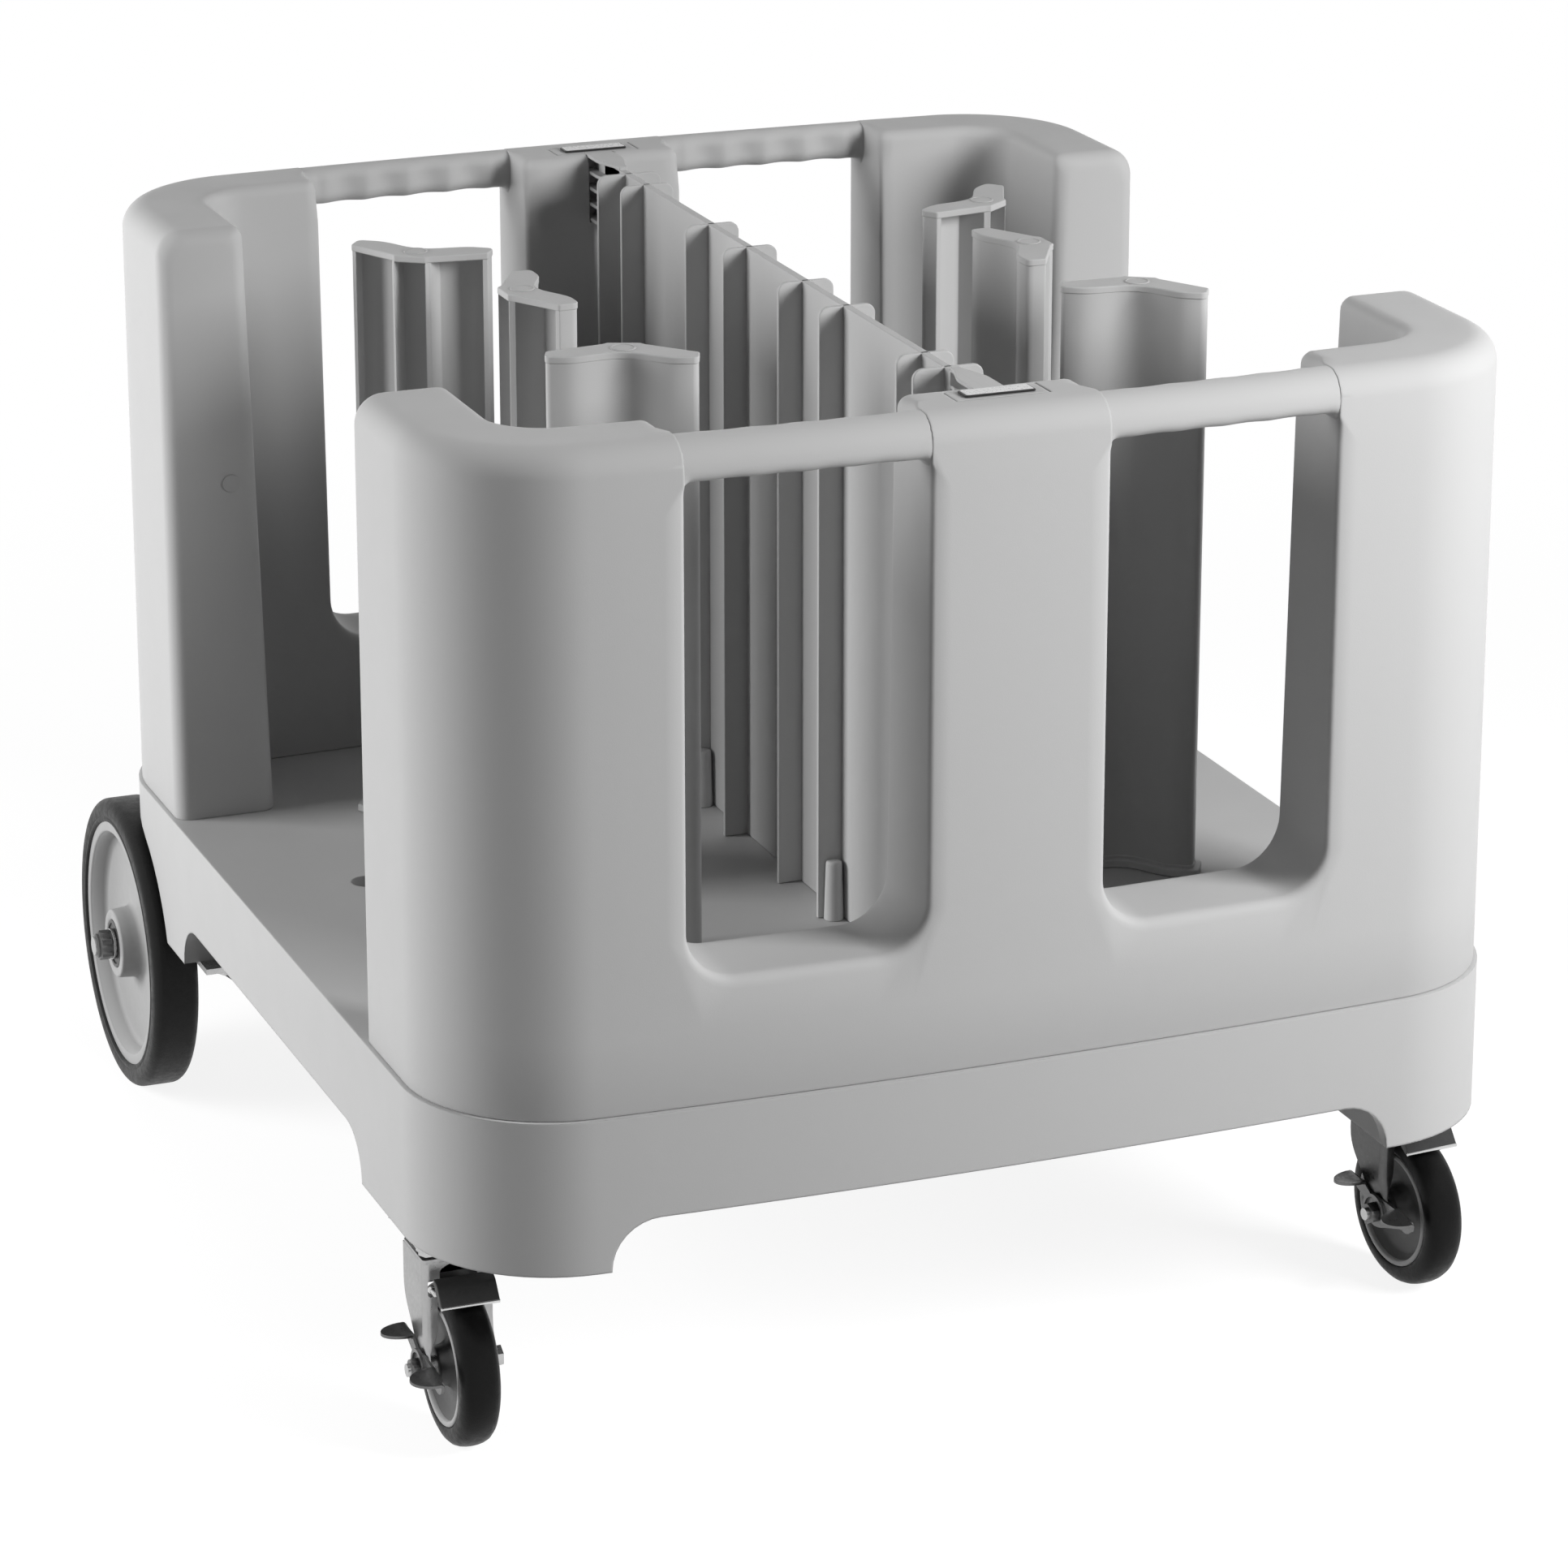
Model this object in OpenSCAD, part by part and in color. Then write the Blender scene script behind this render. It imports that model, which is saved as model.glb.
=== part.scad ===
// Plate dispenser cart: a skirted base on two large rear wheels and two braked
// castors, two C-shaped end panels with moulded hand bars, a ribbed centre
// divider and six lift-out plate dividers.
// X runs across the cart, +Y towards the rear wheels, +Z up from the floor.

/* [Base] */
// Width of the base across its sides
base_w = 880; // [860:5:960]
// Length of the base between the middles of its bowed ends
base_l = 976; // [940:4:1060]
// Plan radius of the base corners
base_corner_r = 118; // [105:1:125]
// Plan radius of the bowed front and rear
base_bow_r = 5800; // [5000:100:9000]
// Height of the deck above the floor
deck_z = 293; // [285:1:310]
// Thickness of the deck
deck_t = 14; // [10:1:16]
// Thickness of the skirt
skirt_t = 12; // [8:1:14]
// Height of the skirt's lower edge between its feet
skirt_z = 211; // [200:1:215]
// Height of the corner feet, where castors and axle brackets bolt on
foot_z = 172; // [165:1:180]
// Radius of the skirt arches at their ends
arch_r = 38; // [20:1:38]
// Length of a front foot, from the base's front edge to the side arch
front_foot_l = 233; // [220:1:245]
// Length of a rear foot, from the base's rear edge to the side arch
rear_foot_l = 242; // [238:1:256]
// Width of a foot, from the base's side to the front and rear arches
foot_w = 122; // [115:1:140]

/* [End panels] */
// Height of an end panel above the deck
panel_h = 505; // [450:5:560]
// Step from the base's edge in to the panel's face
panel_inset = 3; // [2:0.5:8]
// Panel thickness at its foot
panel_t_foot = 86; // [80:1:92]
// Panel thickness at its top
panel_t_top = 73; // [70:1:78]
// Length of a panel's returns, from the base's edge to their ends
return_l = 226; // [200:2:248]
// Radius along the panel's outer top edge
rim_r = 22; // [10:1:28]
// Radius along the panel's inner top edge
rim_inner_r = 10; // [3:1:12]
// Radius of the return's upright edges
return_edge_r = 12; // [6:1:18]
// Distance from the middle to the near jamb of a window
window_in = 71; // [60:1:85]
// Distance from the middle to the far jamb of a window
window_out = 258; // [230:2:275]
// Height of the window sill above the deck
sill_h = 97; // [60:1:140]
// Radius of the window's lower corners
window_r = 40; // [20:1:60]
// Radius of the hand bars over the windows
bar_r = 15.5; // [12:0.5:18]
// Distance from the panel's face in to the hand bar's axis
bar_inset = 19; // [18:0.5:24]

/* [Centre divider] */
// Thickness of the dividing wall
wall_t = 7; // [5:0.5:9]
// Gap from the panel's foot to the end of the dividing wall
wall_end_gap = 2; // [1:0.5:6]
// Step from the panel's top edge down to the top of the wall and its ribs
wall_drop = 3; // [2:0.5:12]
// Thickness of a rib
rib_t = 4; // [3:0.5:6]
// Reach of the inner ribs from the wall's middle
rib_reach = 23.5; // [18:0.5:28]
// Reach of the outermost ribs from the wall's middle
end_rib_reach = 28.5; // [22:0.5:34]
// Radius of a rib's top corners
rib_corner_r = 8; // [4:1:12]
// Half width of the T-shaped head
head_half_w = 37; // [30:1:44]
// Thickness of the T-shaped head
head_t = 26; // [20:1:30]
// Height of the T-shaped head
head_h = 58; // [40:1:70]
// Half width of the neck where it enters the panel
neck_half_w = 12; // [9:0.5:16]
// Gap round the head and the neck in their pocket
pocket_gap = 0.6; // [0.3:0.1:1.5]

/* [Plate dividers] */
// Width of a plate divider across its wings
divider_w = 116; // [100:2:124]
// Depth of a plate divider from its wings to its rear boss
divider_d = 43; // [36:1:50]
// Thickness of the wing ends
wing_t = 16; // [12:1:20]
// Depth of the dished plate side
dish_d = 15; // [8:1:18]
// Height of a plate divider above the deck
divider_h = 490; // [420:2:540]
// Thickness of the dished skin
skin_t = 4; // [3:0.5:5]
// Thickness of the top cap
cap_t = 6; // [4:1:10]
// Thickness of the foot flange
foot_t = 8; // [5:1:12]
// Step of the foot flange past the column
foot_step = 5; // [2:0.5:6]
// Radius of the main locating peg
peg_r = 12.6; // [8:0.2:14]
// Radius of the small locating peg
key_peg_r = 5; // [3:0.5:6]

/* [Rear wheels] */
// Radius of the rear tyres
wheel_r = 127; // [120:1:130]
// Width of the rear tyres
wheel_w = 40; // [32:1:44]
// Radius of the wheel's rim under the tyre
rim_seat_r = 107; // [96:1:110]
// Radius of the wheel's hub boss
hub_r = 30; // [27:1:36]
// Radius of the axle
axle_r = 10; // [8:0.5:11]
// Distance from the base's rear edge to the axle
axle_inset = 57; // [48:1:68]
// Step from the base's side out to the outer face of a tyre
wheel_out = 11; // [6:1:20]

/* [Castors] */
// Radius of the castor tyres
castor_r = 63.5; // [60:0.5:64]
// Width of the castor tyres
castor_w = 31; // [26:1:33]
// Distance from the base's side to the castor's swivel axis
castor_side_in = 40; // [38:1:60]
// Distance from the base's front edge to the castor's swivel axis
castor_front_in = 148; // [140:1:158]
// Trail from the swivel axis to the castor's axle
castor_trail = 22; // [20:1:30]
// Turn of the left castor as photographed
left_castor_turn = 0; // [-30:1:30]
// Turn of the right castor as photographed
right_castor_turn = 5; // [-30:1:30]

/* [Hidden] */

$fn = 96;

// Colours of the mouldings, the rubber and the metal
grey = [0.74, 0.74, 0.74];
pale = [0.78, 0.78, 0.78];
black = [0.09, 0.09, 0.1];
zinc = [0.66, 0.67, 0.68];
dark_steel = [0.3, 0.3, 0.31];

over = 1;           // overrun of every cut
bar_drop = 1.5;     // step from the panel's top edge down to the hand bar
arc_steps = 8;      // straight steps in a drawn quarter round
seat_gap = 0.3;     // gap under pieces that lift off
run_gap = 0.05;     // radial clearance of a running fit
side_gap = 0.3;     // axial clearance beside a running part

// Places that follow the base's edges
side_arch_front = base_l / 2 - front_foot_l;
side_arch_rear = base_l / 2 - rear_foot_l;
end_arch_half = base_w / 2 - foot_w;
return_y = base_l / 2 - return_l;
wall_h = panel_h - wall_drop;
axle_y = base_l / 2 - axle_inset;
wheel_face_x = base_w / 2 + wheel_out;
castor_x = base_w / 2 - castor_side_in;
castor_y = base_l / 2 - castor_front_in;

// The cart's middle lies this far along Y, so that the origin is under the
// middle of the whole outline, rear wheels included
wheel_reach = axle_y + wheel_r;
body_y = (base_l / 2 - wheel_reach) / 2;

// Panel outline, inside the base's outline
panel_half_w = base_w / 2 - panel_inset;
panel_half_l = base_l / 2 - panel_inset;
panel_corner_r = base_corner_r - panel_inset;
panel_bow_r = base_bow_r - panel_inset;
corner_cx = panel_half_w - panel_corner_r;
bow_cy = panel_half_l - panel_bow_r;
bow_turn = asin(corner_cx / (panel_bow_r - panel_corner_r));
corner_cy = bow_cy + (panel_bow_r - panel_corner_r) * cos(bow_turn);
draft = atan((panel_t_foot - panel_t_top) / panel_h);
panel_mid_t = (panel_t_foot + panel_t_top) / 2;
inner_foot_y = panel_half_l - panel_t_foot;
inner_top_y = panel_half_l - panel_t_top;

// Bolts that hold a panel down, by share of the window's far jamb
panel_bolt_shares = [-1.14, -0.64, 0, 0.64, 1.14];
bolt_r = 4;
bolt_gap = 0.1;
bolt_head_r = 7.5;
bolt_head_h = 5.5;
bolt_flange_r = 9;
bolt_flange_t = 1.6;
bolt_bite = 32;
nut_hex_sides = 6;

// Vent plugs in the ends of the returns
plug_r = 6;
plug_flange_r = 7.5;
plug_flange_t = 1.5;
plug_depth = 10;
plug_h = 290;
plug_in = 55;

// Centre divider
head_step = 11.5;
head_y = inner_top_y + head_step;
flare_l = 53;
flare_y = inner_top_y - flare_l;
neck_plates = 5;
neck_plate_t = 3;
wall_end = inner_foot_y - wall_end_gap;
inner_rib_y = 61;
post_rib_y = 147;
outer_rib_in = 95;
end_rib_in = 51;
rib_places = [inner_rib_y, post_rib_y, wall_end - outer_rib_in, wall_end - end_rib_in];
post_r = 8;
post_top_r = 6.5;
post_h = 49;
pin_r = 3;
pin_h = 20;
pin_gap = 0.4;

// Badge plates
badge_half_w = 28;
badge_d = 17;
badge_t = 2;
badge_corner_r = 2;
badge_frame = 1.4;
badge_lip = 0.4;

// Plate dividers: place of the boss and turn of each, as photographed
rear_row_y = 191;
left_rear_x = 241;
left_middle_x = 201;
left_middle_y = 40;
left_front_x = 190;
left_front_y = 164;
right_rear_x = 261;
right_middle_x = 237;
right_middle_y = 39;
right_front_x = 262;
right_front_y = 117;
divider_places = [[-left_rear_x, rear_row_y, 144], [-left_middle_x, left_middle_y, 90],
  [-left_front_x, -left_front_y, -22], [right_rear_x, rear_row_y, 218],
  [right_middle_x, right_middle_y, -90], [right_front_x, -right_front_y, -32]];
spare_hole_x = 332;
spare_hole_y = 66;
divider_half_w = divider_w / 2;
boss_v = 27;
boss_r = 10;
boss_h = 0.8;
boss_flat = 13;
boss_shoulder = 16;
boss_drop = 4;
nose_half_w = 10;
nose_d = 4;
dish_half_w = divider_half_w - nose_half_w - nose_d;
dish_steps = 16;
channel_half_w = 13;
channel_rib_t = 3.5;
peg_l = 12;
peg_gap = 0.4;
key_u = 40;
key_v = 9;

// Rear wheel set
axle_z = wheel_r;
axle_out = 21;
axle_end = wheel_face_x + axle_out;
thread_r = 8;
wheel_mid_x = wheel_face_x - wheel_w / 2;
hub_half_l = wheel_w / 2 + 3;
bearing_r = 21;
bearing_w = 12;
bearing_race_t = 3;
bearing_shield_in = 1;
hub_bore_r = 14;
hub_disc_t = 7;
hub_rim_t = 9;
hub_rim_half_w = wheel_w / 2 - 2;
hub_web_out = 3;
tyre_shoulder = 8;
washer_r = 13.5;
washer_t = 2.5;
wheel_nut_r = 13.8;
wheel_nut_t = 11;
wheel_nut_collar_r = 10.5;
wheel_nut_collar_t = 3;
well_gap = 12;
well_r = wheel_r + well_gap;
well_wall_t = 8;
well_x = wheel_face_x - wheel_w - well_gap - 2 * side_gap;
bracket_t = 6;
bracket_x = well_x - well_wall_t;
bracket_flange_t = 5;
bracket_eye_r = 22;
bracket_front_reach = 205;
bracket_front_y = axle_y - bracket_front_reach;
bracket_front_l = 62;
bracket_rear_step = 15;
bracket_rear_y = axle_y + bracket_rear_step;
bracket_rear_l = 36;
bracket_out = 42;
bracket_in = 42;
bracket_bolt_step = 34;
bracket_web_h = 24;
pad_in = 56;
spacer_r = 13;

// Castors
castor_plate_w = 72;
castor_plate_l = 92;
castor_plate_t = 4;
castor_plate_corner_r = 6;
castor_bolt_x = 27;
castor_bolt_y = 37;
castor_pad_l = 104;
race_r = 30;
race_h = 10;
crown_gap = 6;
crown_t = 3;
crown_z = foot_z - castor_plate_t - race_h - crown_gap;
kingpin_r = 6;
kingpin_head_r = 10;
kingpin_head_h = 3.4;
ball_r = 2.9;
ball_ring_r = 21;
ball_count = 14;
fork_half_w = 28;
leg_t = 2.5;
leg_rear = 22;
leg_front = 26;
leg_knee_z = 104;
leg_waist_y = 12;
leg_waist_z = 84;
axle_eye_r = 14;
lip_w = 10.5;
lip_t = 2.5;
lip_foot_z = 80;
lip_shoulder_z = 98;
castor_axle_r = 5;
castor_bush_r = 8;
castor_rim_r = 47;
castor_hub_r = 15;
castor_disc_t = 12;
castor_ring_t = 5;
castor_hub_half_l = castor_w / 2 + 4;
castor_head_r = 8.5;
castor_head_t = 5.5;
castor_nut_r = 9;
castor_nut_t = 7;
castor_bolt_end = 3;
castor_shoulder = 11;
lever_t = 2.5;
lever_half_w = 7;
lever_tab_w = 20;
lever_tab_l = 24;
lever_tab_t = 2.5;
lever_rear = [27, 20];
lever_front = [-44, 12];
lever_eye_r = 12;
slot_w = 5.4;
slot_h = 14;
stud_r = 2.4;
stud_z = 128.5;
stud_x = 21.5;
shoe_t = 2.5;
shoe_half_w = 23;
shoe_top = [-36, 139];
shoe_bend = [-44, 136];
shoe_edge = [-55, 122.5];
stud_back = 21;

// Points of an arc, from angle a to angle b
function arc(cx, cy, r, a, b, n = arc_steps) =
  [for (i = [0:n]) let (t = a + (b - a) * i / n) [cx + r * cos(t), cy + r * sin(t)]];

// Closed outline of the cart in plan, a given step inside the base
function cart_outline(step) =
  let (half_w = base_w / 2 - step, half_l = base_l / 2 - step,
       r = base_corner_r - step, bow = base_bow_r - step,
       cx = half_w - r, turn = asin(cx / (bow - r)), by = half_l - bow,
       cy = by + (bow - r) * cos(turn), n = 2 * arc_steps)
  concat(arc(cx, cy, r, 0, 90 - turn, n), arc(0, by, bow, 90 - turn, 90 + turn, n),
         arc(-cx, cy, r, 90 + turn, 180, n), arc(-cx, -cy, r, 180, 270 - turn, n),
         arc(0, -by, bow, 270 - turn, 270 + turn, n), arc(cx, -cy, r, 270 + turn, 360, n));

// Outline with a rounded top on a given half width, foot at zero
function round_top(half_w, h, r) =
  concat([[-half_w, 0], [half_w, 0]], arc(half_w - r, h - r, r, 0, 90),
         arc(r - half_w, h - r, r, 90, 180));

// Rounded rectangle round the origin
function round_rect(half_w, half_l, r) =
  concat(arc(half_w - r, half_l - r, r, 0, 90), arc(r - half_w, half_l - r, r, 90, 180),
         arc(r - half_w, r - half_l, r, 180, 270), arc(half_w - r, r - half_l, r, 270, 360));

module on_cart() translate([0, body_y, 0]) children();

module on_side(side) on_cart() mirror([side < 0 ? 1 : 0, 0, 0]) children();

// Turns a piece drawn for the rear end round to the front end
module at_end(front) on_cart() rotate([0, 0, front ? 180 : 0]) children();

// Prism drawn in the Y-Z plane, centred on x
module side_prism(x, w) translate([x - w / 2, 0, 0]) rotate([90, 0, 90]) linear_extrude(w) children();

// Prism drawn in the X-Z plane, from y to y + l
module end_prism(y, l) translate([0, y + l, 0]) rotate([90, 0, 0]) linear_extrude(l) children();

// What a round of radius r takes off a square corner
module corner_waste(r) {
  difference() {
    translate([0, 0]) square(r + over);
    circle(r);
  }
}

module hex_bolt(r, head_r, head_h, l) {
  cylinder(r = r, h = l);
  translate([0, 0, -head_h]) cylinder(r = head_r, h = head_h, $fn = nut_hex_sides);
}

module flange_bolt(l) {
  translate([0, 0, 0]) cylinder(r = bolt_r, h = l);
  translate([0, 0, -bolt_flange_t]) cylinder(r = bolt_flange_r, h = bolt_flange_t);
  translate([0, 0, -bolt_head_h]) cylinder(r = bolt_head_r, h = bolt_head_h, $fn = nut_hex_sides);
}

// Places of the bolts under an end panel
module panel_bolt_places() {
  for (share = panel_bolt_shares)
    translate([share * window_out, panel_half_l - panel_t_foot / 2, 0]) children();
}

// Places of the pegs and holes of all plate dividers
module divider_place(i) {
  p = divider_places[i];
  translate([p[0], p[1], deck_z]) rotate([0, 0, p[2]]) translate([0, -boss_v, 0]) children();
}

module peg_holes(r_gap, depth) {
  translate([0, boss_v, -depth]) cylinder(r = peg_r + r_gap, h = depth + over);
  translate([-key_u, key_v, -depth]) cylinder(r = key_peg_r + r_gap, h = depth + over);
}

// Opening under the skirt between two feet
module arch_shape(a, b) {
  polygon(concat([[a, foot_z - over], [b, foot_z - over]],
                 arc(b - arch_r, skirt_z - arch_r, arch_r, 0, 90),
                 arc(a + arch_r, skirt_z - arch_r, arch_r, 90, 180)));
}

module slab(x0, x1, y0, y1, z0, z1) translate([x0, y0, z0]) cube([x1 - x0, y1 - y0, z1 - z0]);

module base_shell() {
  difference() {
    translate([0, 0, foot_z]) linear_extrude(deck_z - foot_z) polygon(cart_outline(0));
    translate([0, 0, foot_z - over]) linear_extrude(deck_z - deck_t - foot_z + over)
      polygon(cart_outline(skirt_t));
  }
}

// Solid feet, bracket pads, wheel wells and stiffening ribs under the deck
module base_blocks() {
  under = deck_z - deck_t / 2;
  half_w = base_w / 2;
  half_l = base_l / 2;
  intersection() {
    translate([0, 0, foot_z]) linear_extrude(deck_z - foot_z - deck_t / 2)
      polygon(cart_outline(skirt_t / 2));
    union() {
      for (side = [0, 1]) mirror([side, 0, 0]) {
        slab(end_arch_half, half_w, -half_l, -side_arch_front, foot_z, under);
        slab(bracket_x - pad_in, half_w, bracket_front_y - over, axle_y - well_r + over, foot_z, under);
        slab(bracket_x - pad_in, well_x, axle_y, half_l, foot_z, under);
        slab(bracket_x, well_x, axle_y - well_r, half_l, foot_z, under);
        translate([bracket_x, axle_y, axle_z]) rotate([0, 90, 0])
          cylinder(r = well_r + well_wall_t, h = half_w - bracket_x);
        slab(window_in, window_in + skirt_t, -half_l, half_l, skirt_z, under);
      }
      slab(-half_w, half_w, -side_arch_front + skirt_t, -side_arch_front + 2 * skirt_t, skirt_z, under);
      slab(-half_w, half_w, -skirt_t / 2, skirt_t / 2, skirt_z, under);
    }
  }
}

module base_deck() {
  half_w = base_w / 2;
  half_l = base_l / 2;
  on_cart() color(grey) {
    difference() {
      union() {
        base_shell();
        base_blocks();
      }
      side_prism(0, base_w + 2 * over) arch_shape(-side_arch_front, side_arch_rear);
      end_prism(-half_l - over, half_l + over - side_arch_front)
        arch_shape(-end_arch_half, end_arch_half);
      end_prism(axle_y, half_l + over - axle_y) arch_shape(pad_in - bracket_x, bracket_x - pad_in);
      for (side = [0, 1]) mirror([side, 0, 0]) {
        translate([well_x, axle_y, axle_z]) rotate([0, 90, 0]) cylinder(r = well_r, h = half_w);
        slab(well_x, half_w + over, axle_y, half_l + over, foot_z - over, axle_z + well_r);
        translate([castor_x, -castor_y, foot_z]) castor_bolt_holes(bolt_r + bolt_gap, bolt_bite);
        bracket_bolt_places() cylinder(r = bolt_r + bolt_gap, h = bolt_bite);
      }
      for (turn = [0, 180]) rotate([0, 0, turn]) panel_bolt_places()
        translate([0, 0, deck_z - deck_t - over]) cylinder(r = bolt_r + bolt_gap, h = deck_t + 2 * over);
      for (i = [0:len(divider_places) - 1]) divider_place(i) peg_holes(peg_gap, deck_t + over);
      for (x = [-spare_hole_x, spare_hole_x], y = [-spare_hole_y, spare_hole_y])
        translate([x, y, deck_z - deck_t - over]) cylinder(r = peg_r + peg_gap, h = deck_t + 2 * over);
      deck_pin_places() cylinder(r = pin_r, h = deck_t);
    }
  }
}

// Places of the pins that the centre divider's posts drop over, from half way down the deck
module deck_pin_places() {
  for (x = [-post_r - wall_t / 2, post_r + wall_t / 2], y = [-rib_places[1], rib_places[1]])
    translate([x, y - rib_t / 2 - post_r / 2, deck_z - deck_t / 2]) children();
}

module deck_pins() {
  on_cart() color(zinc) deck_pin_places() cylinder(r = pin_r, h = pin_h + deck_t / 2);
}

// Upright section of a panel's wall; edge is where its outer face lies
module wall_section(edge) {
  d = rim_inner_r * tan((90 - draft) / 2);
  polygon(concat(
    [[edge, 0]],
    arc(edge - rim_r, panel_h - rim_r, rim_r, 0, 90),
    arc(edge - panel_t_top + d, panel_h - rim_inner_r, rim_inner_r, 90, 180 + draft),
    [[edge - panel_t_foot, 0]]));
}

module panel_wall() {
  for (side = [0, 1]) mirror([side, 0, 0]) {
    translate([0, corner_cy, 0]) rotate([90, 0, 0]) linear_extrude(corner_cy - return_y)
      wall_section(panel_half_w);
    translate([corner_cx, corner_cy, 0]) rotate_extrude(angle = 90) wall_section(panel_corner_r);
  }
  intersection() {
    translate([0, bow_cy, 0]) rotate([0, 0, 90 - 2 * bow_turn])
      rotate_extrude(angle = 4 * bow_turn, $fn = 720) wall_section(panel_bow_r);
    slab(-corner_cx, corner_cx, corner_cy, base_l, -over, panel_h + over);
  }
}

module window_shape() {
  polygon(concat([[window_in, panel_h + over]],
    arc(window_in + window_r, sill_h + window_r, window_r, 180, 270),
    arc(window_out - window_r, sill_h + window_r, window_r, 270, 360),
    [[window_out, panel_h + over]]));
}

module hand_bar() {
  in_turn = asin((window_in - bar_r) / panel_bow_r);
  out_turn = asin((window_out + bar_r) / panel_bow_r);
  translate([0, bow_cy, panel_h - bar_drop - bar_r]) rotate([0, 0, 90 - out_turn])
    rotate_extrude(angle = out_turn - in_turn, $fn = 720)
      translate([panel_bow_r - bar_inset, 0]) circle(bar_r, $fn = 48);
}

// The ends of a return, rounded upright inside and outside and over the top
module return_rounding() {
  slope_r = return_edge_r;
  translate([panel_half_w - return_edge_r, return_y + return_edge_r, -over])
    rotate([0, 0, -90]) linear_extrude(panel_h + 2 * over) corner_waste(return_edge_r);
  translate([panel_half_w - panel_t_foot, return_y + slope_r, 0]) rotate([0, draft, 0])
    translate([slope_r, 0, -over]) rotate([0, 0, 180]) linear_extrude(panel_h + 3 * over)
      corner_waste(slope_r);
  translate([panel_half_w - panel_t_foot - over, return_y + rim_r, panel_h - rim_r])
    rotate([90, 0, 90]) linear_extrude(panel_t_foot + 2 * over) rotate(90) corner_waste(rim_r);
}

// Pocket for the divider's T-shaped head, open at the top and inwards
module head_pocket() {
  floor_z = panel_h - head_h - pocket_gap;
  slab(-head_half_w - pocket_gap, head_half_w + pocket_gap, head_y - pocket_gap,
    head_y + head_t + pocket_gap, floor_z, panel_h + over);
  slab(-neck_half_w - pocket_gap, neck_half_w + pocket_gap, inner_foot_y - over, head_y,
    floor_z, panel_h + over);
}

module vent_plug_places() {
  for (side = [-1, 1]) translate([side * (panel_half_w - plug_in), return_y, deck_z + plug_h])
    rotate([-90, 0, 0]) children();
}

module end_panel(front) {
  at_end(front) color(grey) difference() {
    translate([0, 0, deck_z]) {
      difference() {
        panel_wall();
        for (side = [0, 1]) mirror([side, 0, 0]) {
          end_prism(corner_cy, base_l / 2 - corner_cy) window_shape();
          return_rounding();
        }
        head_pocket();
      }
      for (side = [0, 1]) mirror([side, 0, 0]) hand_bar();
    }
    panel_bolt_places() translate([0, 0, deck_z - over]) cylinder(r = bolt_r, h = bolt_bite + over);
    vent_plug_places() translate([0, 0, -over]) cylinder(r = plug_r, h = plug_depth + over);
  }
}

module panel_bolts(front) {
  at_end(front) color(zinc) panel_bolt_places()
    translate([0, 0, deck_z - deck_t]) flange_bolt(deck_t + bolt_bite - over);
}

module vent_plugs(front) {
  at_end(front) color(pale) vent_plug_places() {
    cylinder(r = plug_r, h = plug_depth - over);
    translate([0, 0, -plug_flange_t]) cylinder(r = plug_flange_r, h = plug_flange_t);
  }
}

// One rib across the wall, standing on the deck
module wall_rib(y, reach) {
  end_prism(y - rib_t / 2, rib_t) polygon(round_top(reach, wall_h, rib_corner_r));
}

// Plan of the divider's neck, flaring from the wall to the head
module neck_shape() {
  wall_half = wall_t / 2;
  polygon([[-wall_half, flare_y], [wall_half, flare_y],
    [neck_half_w, inner_foot_y - panel_inset], [neck_half_w, head_y + over],
    [-neck_half_w, head_y + over], [-neck_half_w, inner_foot_y - panel_inset]]);
}

module center_divider() {
  plate_step = (head_h - neck_plate_t) / (neck_plates - 1);
  head_foot = panel_h - head_h;
  on_cart() color(grey) translate([0, 0, deck_z + seat_gap]) difference() {
    union() {
      slab(-wall_t / 2, wall_t / 2, -wall_end, wall_end, 0, wall_h);
      for (turn = [0, 180]) rotate([0, 0, turn]) {
        for (i = [0:len(rib_places) - 1])
          wall_rib(rib_places[i], i == len(rib_places) - 1 ? end_rib_reach : rib_reach);
        for (i = [0:neck_plates - 1]) translate([0, 0, head_foot + i * plate_step])
          linear_extrude(neck_plate_t) neck_shape();
        slab(-wall_t / 2, wall_t / 2, flare_y, head_y + over, head_foot, panel_h);
        slab(-head_half_w, head_half_w, head_y, head_y + head_t, head_foot, panel_h);
      }
      for (x = [-post_r - wall_t / 2, post_r + wall_t / 2], y = [-rib_places[1], rib_places[1]])
        translate([x, y - rib_t / 2 - post_r / 2, 0]) cylinder(r1 = post_r, r2 = post_top_r, h = post_h);
    }
    for (x = [-post_r - wall_t / 2, post_r + wall_t / 2], y = [-rib_places[1], rib_places[1]])
      translate([x, y - rib_t / 2 - post_r / 2, -over]) cylinder(r = pin_r + pin_gap, h = pin_h + 2 * over);
  }
}

module badge_plate(front) {
  at_end(front) color(pale)
    translate([0, head_y + head_t / 2, deck_z + seat_gap + panel_h]) difference() {
      linear_extrude(badge_t) polygon(round_rect(badge_half_w, badge_d / 2, badge_corner_r));
      translate([0, 0, badge_t - badge_lip]) linear_extrude(badge_lip + over)
        polygon(round_rect(badge_half_w - badge_frame, badge_d / 2 - badge_frame, badge_corner_r));
    }
}

// Dished plate side of a divider in plan, moved out by step
function dish_line(step) =
  let (nose_u = divider_half_w - nose_d)
  concat([[-divider_half_w - step, nose_d - step]],
         [for (i = [0:dish_steps]) let (u = -dish_half_w + 2 * dish_half_w * i / dish_steps)
           [u, dish_d * (1 + cos(180 * u / dish_half_w)) / 2 - step]],
         [[divider_half_w + step, nose_d - step]]);

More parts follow.
